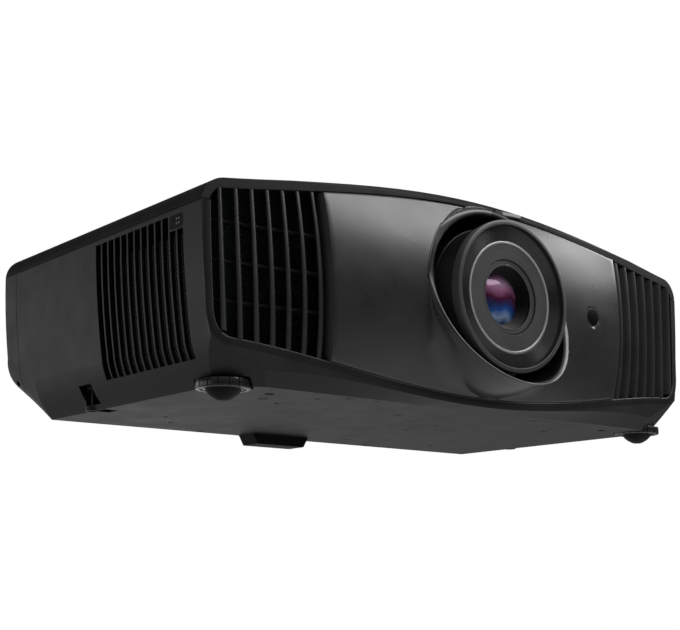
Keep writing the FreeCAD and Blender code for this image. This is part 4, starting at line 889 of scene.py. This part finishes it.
def make_catch():
    """A bright finger plate on the rim over the lens; its underside is black, painted shade, and its left end
    is dark.
    """
    section = ((1.4, 3.3), (0.1, 4.0), (-0.9, 4.7), (-1.2, 6.7), (-1.2, 7.8), (0.4, 7.9), (0.8, 5.6),
               (2.0, 4.1))
    points = []
    columns, dark_columns = 15, 4
    for column in range(columns):
        x = 12.0 + 28.0 * column / (columns - 1)
        lift = 1.5 * max(0.0, x - 20.0) / 20.0
        for ahead, drop in section:
            points.append((x, rim_y(x) + ahead, crown(x) - drop + lift))
    count = len(section)
    faces = grid_faces(columns, count, wrap_columns=True)
    # The underside faces are black as painted shade; the left end is dark.
    marks = [1 if index < count * dark_columns or index % count >= 3 else 0 for index in range(len(faces))]
    faces += [tuple(range(count)), tuple(range((columns - 1) * count, columns * count))]
    mesh_piece("door_finger_plate", points, faces, [TRIM, LENS_BLACK], "chassis", sharp=35.0,
               marks=marks + [1, 0])


make_catch()


def mouth_path():
    """Points (x, z) round the lower half of the mouth, from seam to seam."""
    corner_x, side_x, corner_z, seam_z = 222.6, 237.2, 61.0, 125.6
    start = (corner_x, mouth(corner_x)[0])
    bend = (side_x, start[1] + 0.8)
    right = [curve_point(start, bend, (side_x, corner_z), step / 12) for step in range(12)]
    for step in range(20):
        z = corner_z + (seam_z - corner_z) * step / 19
        right.append((side_x + side_half(z) - side_half(corner_z), z))
    bottom = []
    for step in range(1, 90):
        x = -corner_x + 2 * corner_x * step / 90
        bottom.append((x, mouth(x)[0]))
    return [(-x, z) for x, z in reversed(right)] + bottom + right


def make_band():
    """A flat band round the lower half of the mouth, just proud of the rim, in a darker copy of the case
    plastic as painted shade, with a bead inside it in a lighter material as a painted highlight.
    """
    path = mouth_path()
    section = ((0.0, 1.2), (-0.3, 0.4), (-0.25, -0.15), (0.1, -0.4), (0.45, -0.3), (0.6, -0.3), (4.7, -0.3),
               (5.05, -0.1), (5.1, 0.4))
    highlight_bead_faces = 4
    points = []
    for index, (x, z) in enumerate(path):
        before, after = path[max(0, index - 1)], path[min(len(path) - 1, index + 1)]
        long = math.hypot(after[0] - before[0], after[1] - before[1])
        out_x, out_z = (after[1] - before[1]) / long, -(after[0] - before[0]) / long
        for out, lift in section:
            spot = x + out * out_x
            points.append((spot, rim_y(spot) + lift, z + out * out_z))
    count = len(section)
    faces = grid_faces(len(path), count, wrap_columns=True)
    # The bead's faces take the lighter ring material, a painted highlight; the band takes the darker rim copy,
    # painted shade.
    marks = [0 if index % count < highlight_bead_faces else 1 for index in range(len(faces))]
    faces += [tuple(range(count)), tuple(range((len(path) - 1) * count, len(path) * count))]
    mesh_piece("mouth_band", points, faces, [RING, RIM_PAINTED_SHADE], "chassis", sharp=40.0,
               marks=marks + [1, 1])


make_band()


def countersunk(name, x, y, radius, material, body, deep=1.6, ring=0.5):
    """A small hole or screw seat in the floor: a thin collar with a shallow bowl inside, black as painted shade
    for the hole's depth.
    """
    profile = [(radius + ring, 8.45), (radius + 0.6 * ring, 8.3), (radius, 8.35), (radius - 0.25, 8.42),
               (0.55 * radius, 8.47), (0.02, 8.49), (0.02, 8.6), (radius + ring, 8.6)]
    lathe(name, profile, [CASE, material], body, count=40, axis="upright", centre=(x, y),
          marks=[0, 0, 1, 1, 1, 1, 0, 0], sharp=50.0)


FLOOR_MARKS = ((-161.0, -67.7, 3.6), (-131.4, -91.0, 1.6), (-114.6, -104.2, 1.8), (-91.3, -107.3, 1.2),
               (-27.3, -58.1, 3.0), (40.7, 6.2, 1.6), (41.2, -27.5, 1.6), (-161.4, 57.6, 1.4),
               (80.2, -97.5, 2.8))
for index, (x, y, radius) in enumerate(FLOOR_MARKS):
    countersunk("floor_hole_%d" % index, x, y, radius, LENS_BLACK, "chassis")
# Floor slots as thin black plates: painted shade for the slots' depth.
for index, (x, y, long) in enumerate(((46.0, 92.7, 14.0), (-57.1, 49.1, 9.0), (-64.0, 51.5, 6.0))):
    rounded_plate("floor_slot_%d" % index, long, 1.8, 0.85, 0.12, (x, y, 8.5), (1, 0, 0), (0, 1, 0),
                  (0, 0, -1), LENS_BLACK, "chassis", bevel=0.05)

# Arrow marks round the keypad's arrow pad, whose middle is at (PAD_Y, PAD_Z).
PAD_Y, PAD_Z, ARROW_REACH = 108.0, 97.0, 9.8
for index, (sideways, lengthways) in enumerate(((0, 1), (0, -1), (1, 0), (-1, 0))):
    points = []
    for depth, grow in ((245.65, 1.0), (245.95, 0.82)):
        for along, wide in ((1.4, 0.0), (-0.7, 1.5), (-0.7, -1.5)):
            reach = ARROW_REACH + grow * along
            points.append((depth, PAD_Y + sideways * reach + lengthways * grow * wide,
                           PAD_Z + lengthways * reach + sideways * grow * wide))
    mesh_piece("arrow_%d" % index, points, [(0, 1, 4, 3), (1, 2, 5, 4), (2, 0, 3, 5), (3, 4, 5)], MARK,
               "arrow_key", sharp=20.0)


# ---------------------------------------------------------------- the CAD nodes that keep their shape
slots = {row["node"]: row["material_slot"] for row in frame["record"]["subparts"]}
for node in nodes.values():
    slot = slots.get(node.name)
    if slot in SLOT_MATERIALS:
        material = SLOT_MATERIALS[slot]
        if node.name in ("rear_lens", "zoom_lens"):
            material = REAR_GLASS
        if node.name == "lower_case":
            material = CASE_SLOT_SHADE
        if node.material_slots:
            for holder in node.material_slots:
                holder.material = material
        else:
            node.data.materials.append(material)
    node.data.polygons.foreach_set("use_smooth", [True] * len(node.data.polygons))
    node.data.set_sharp_from_angle(angle=math.radians(35))


# ---------------------------------------------------------------- studio
def area_light(name, place, aim, size, power):
    data = bpy.data.lights.new(name, "AREA")
    data.shape = "RECTANGLE"
    data.size, data.size_y = size
    data.energy = power
    light = bpy.data.objects.new(name, data)
    bpy.context.scene.collection.objects.link(light)
    light.location = place
    light.rotation_euler = (Vector(aim) - Vector(place)).to_track_quat("-Z", "Y").to_euler()


def studio_world():
    """A white backdrop. The light comes from a bright band behind, which fades to the right, and a dim room."""
    world = bpy.data.worlds.new("studio")
    world.use_nodes = True
    tree = world.node_tree
    sky = tree.nodes["Background"]
    place = tree.nodes.new("ShaderNodeTexCoord")
    split = tree.nodes.new("ShaderNodeSeparateXYZ")
    tree.links.new(place.outputs["Generated"], split.inputs["Vector"])
    height = tree.nodes.new("ShaderNodeMapRange")
    height.inputs["From Min"].default_value = -1.0
    tree.links.new(split.outputs["Z"], height.inputs["Value"])
    ahead = ramp(tree, height.outputs["Result"], [
        (0.0, grey(0.08)), (0.22, grey(0.12)), (0.33, grey(0.12)), (0.44, grey(0.03)), (0.60, grey(0.02)),
        (0.76, grey(0.20)), (1.0, grey(0.24))])
    behind = ramp(tree, height.outputs["Result"], [
        (0.0, grey(0.04)), (0.27, grey(0.0)), (0.37, grey(0.10)), (0.44, grey(0.78)), (0.50, grey(0.70)),
        (0.57, grey(1.0)), (0.61, grey(0.45)), (0.66, grey(0.03)), (0.82, grey(0.02)), (0.92, grey(0.38)),
        (1.0, grey(0.45))])
    sideways = tree.nodes.new("ShaderNodeMapRange")
    sideways.inputs["From Min"].default_value = -1.0
    tree.links.new(split.outputs["X"], sideways.inputs["Value"])
    fall = ramp(tree, sideways.outputs["Result"], [
        (0.0, grey(0.74)), (0.64, grey(0.74)), (0.75, grey(1.0)), (0.805, grey(0.50)), (0.85, grey(0.22)),
        (0.875, grey(0.13)), (1.0, grey(0.13))])
    shade = tree.nodes.new("ShaderNodeMix")
    shade.data_type = "RGBA"
    shade.blend_type = "MULTIPLY"
    shade.inputs[0].default_value = 1.0
    tree.links.new(behind, shade.inputs[6])
    tree.links.new(fall, shade.inputs[7])
    depth = tree.nodes.new("ShaderNodeMapRange")
    depth.inputs["From Min"].default_value = -0.35
    depth.inputs["From Max"].default_value = 0.35
    tree.links.new(split.outputs["Y"], depth.inputs["Value"])
    blend = tree.nodes.new("ShaderNodeMix")
    blend.data_type = "RGBA"
    tree.links.new(depth.outputs["Result"], blend.inputs[0])
    tree.links.new(ahead, blend.inputs[6])
    tree.links.new(shade.outputs[2], blend.inputs[7])
    tree.links.new(blend.outputs[2], sky.inputs["Color"])
    white = tree.nodes.new("ShaderNodeBackground")
    white.inputs["Color"].default_value = (1, 1, 1, 1)
    rays = tree.nodes.new("ShaderNodeLightPath")
    mix = tree.nodes.new("ShaderNodeMixShader")
    tree.links.new(rays.outputs["Is Camera Ray"], mix.inputs["Fac"])
    tree.links.new(sky.outputs["Background"], mix.inputs[1])
    tree.links.new(white.outputs["Background"], mix.inputs[2])
    tree.links.new(mix.outputs["Shader"], tree.nodes["World Output"].inputs["Surface"])
    bpy.context.scene.world = world


def look_camera():
    """A camera just below the projector, to the left of its front."""
    data = bpy.data.cameras.new("camera")
    data.lens = 69.46
    data.sensor_width = 36.0
    data.clip_start = 0.01
    data.clip_end = 50.0
    camera = bpy.data.objects.new("camera", data)
    bpy.context.scene.collection.objects.link(camera)
    camera.location = (-0.69105, -0.7982, -0.1186)
    yaw, pitch, roll = 0.687, 0.204, 0.003
    ahead = Vector((math.sin(yaw) * math.cos(pitch), math.cos(yaw) * math.cos(pitch), math.sin(pitch)))
    camera.rotation_mode = "QUATERNION"
    camera.rotation_quaternion = Quaternion(ahead, roll) @ ahead.to_track_quat("-Z", "Y")
    bpy.context.scene.camera = camera


def make_floor():
    """A plain pale floor well below the projector, with a faint texture."""
    half, low = 1.9, -0.52
    count = 9
    points = []
    places = [-half + 2 * half * step / (count - 1) for step in range(count)]
    for y in places:
        for x in places:
            points.append((x, y, low))
    mesh = bpy.data.meshes.new("studio_floor")
    mesh.from_pydata(points, [], grid_faces(count, count))
    floor = bpy.data.objects.new("studio_floor", mesh)
    bpy.context.scene.collection.objects.link(floor)
    pale = moulded("floor_pale", (0.80, 0.80, 0.79), 0.6, grain=0.004, relief=0.00005, mottle=0.01)
    mesh.materials.append(pale)


studio_world()
look_camera()
make_floor()
area_light("overhead", (0.75, -0.95, 1.15), (0.05, -0.12, 0.12), (1.1, 0.6), 6.4)
area_light("side_top", (1.6, -0.35, 0.95), (0.15, -0.13, 0.12), (0.7, 0.5), 5)
area_light("rear", (1.9, 0.9, 0.75), (0.1, 0.1, 0.08), (1.0, 0.7), 4)
area_light("fill", (0.9, -1.5, -0.25), (0.0, -0.15, 0.08), (0.8, 0.5), 0.16)
bpy.context.scene.view_settings.view_transform = "Standard"
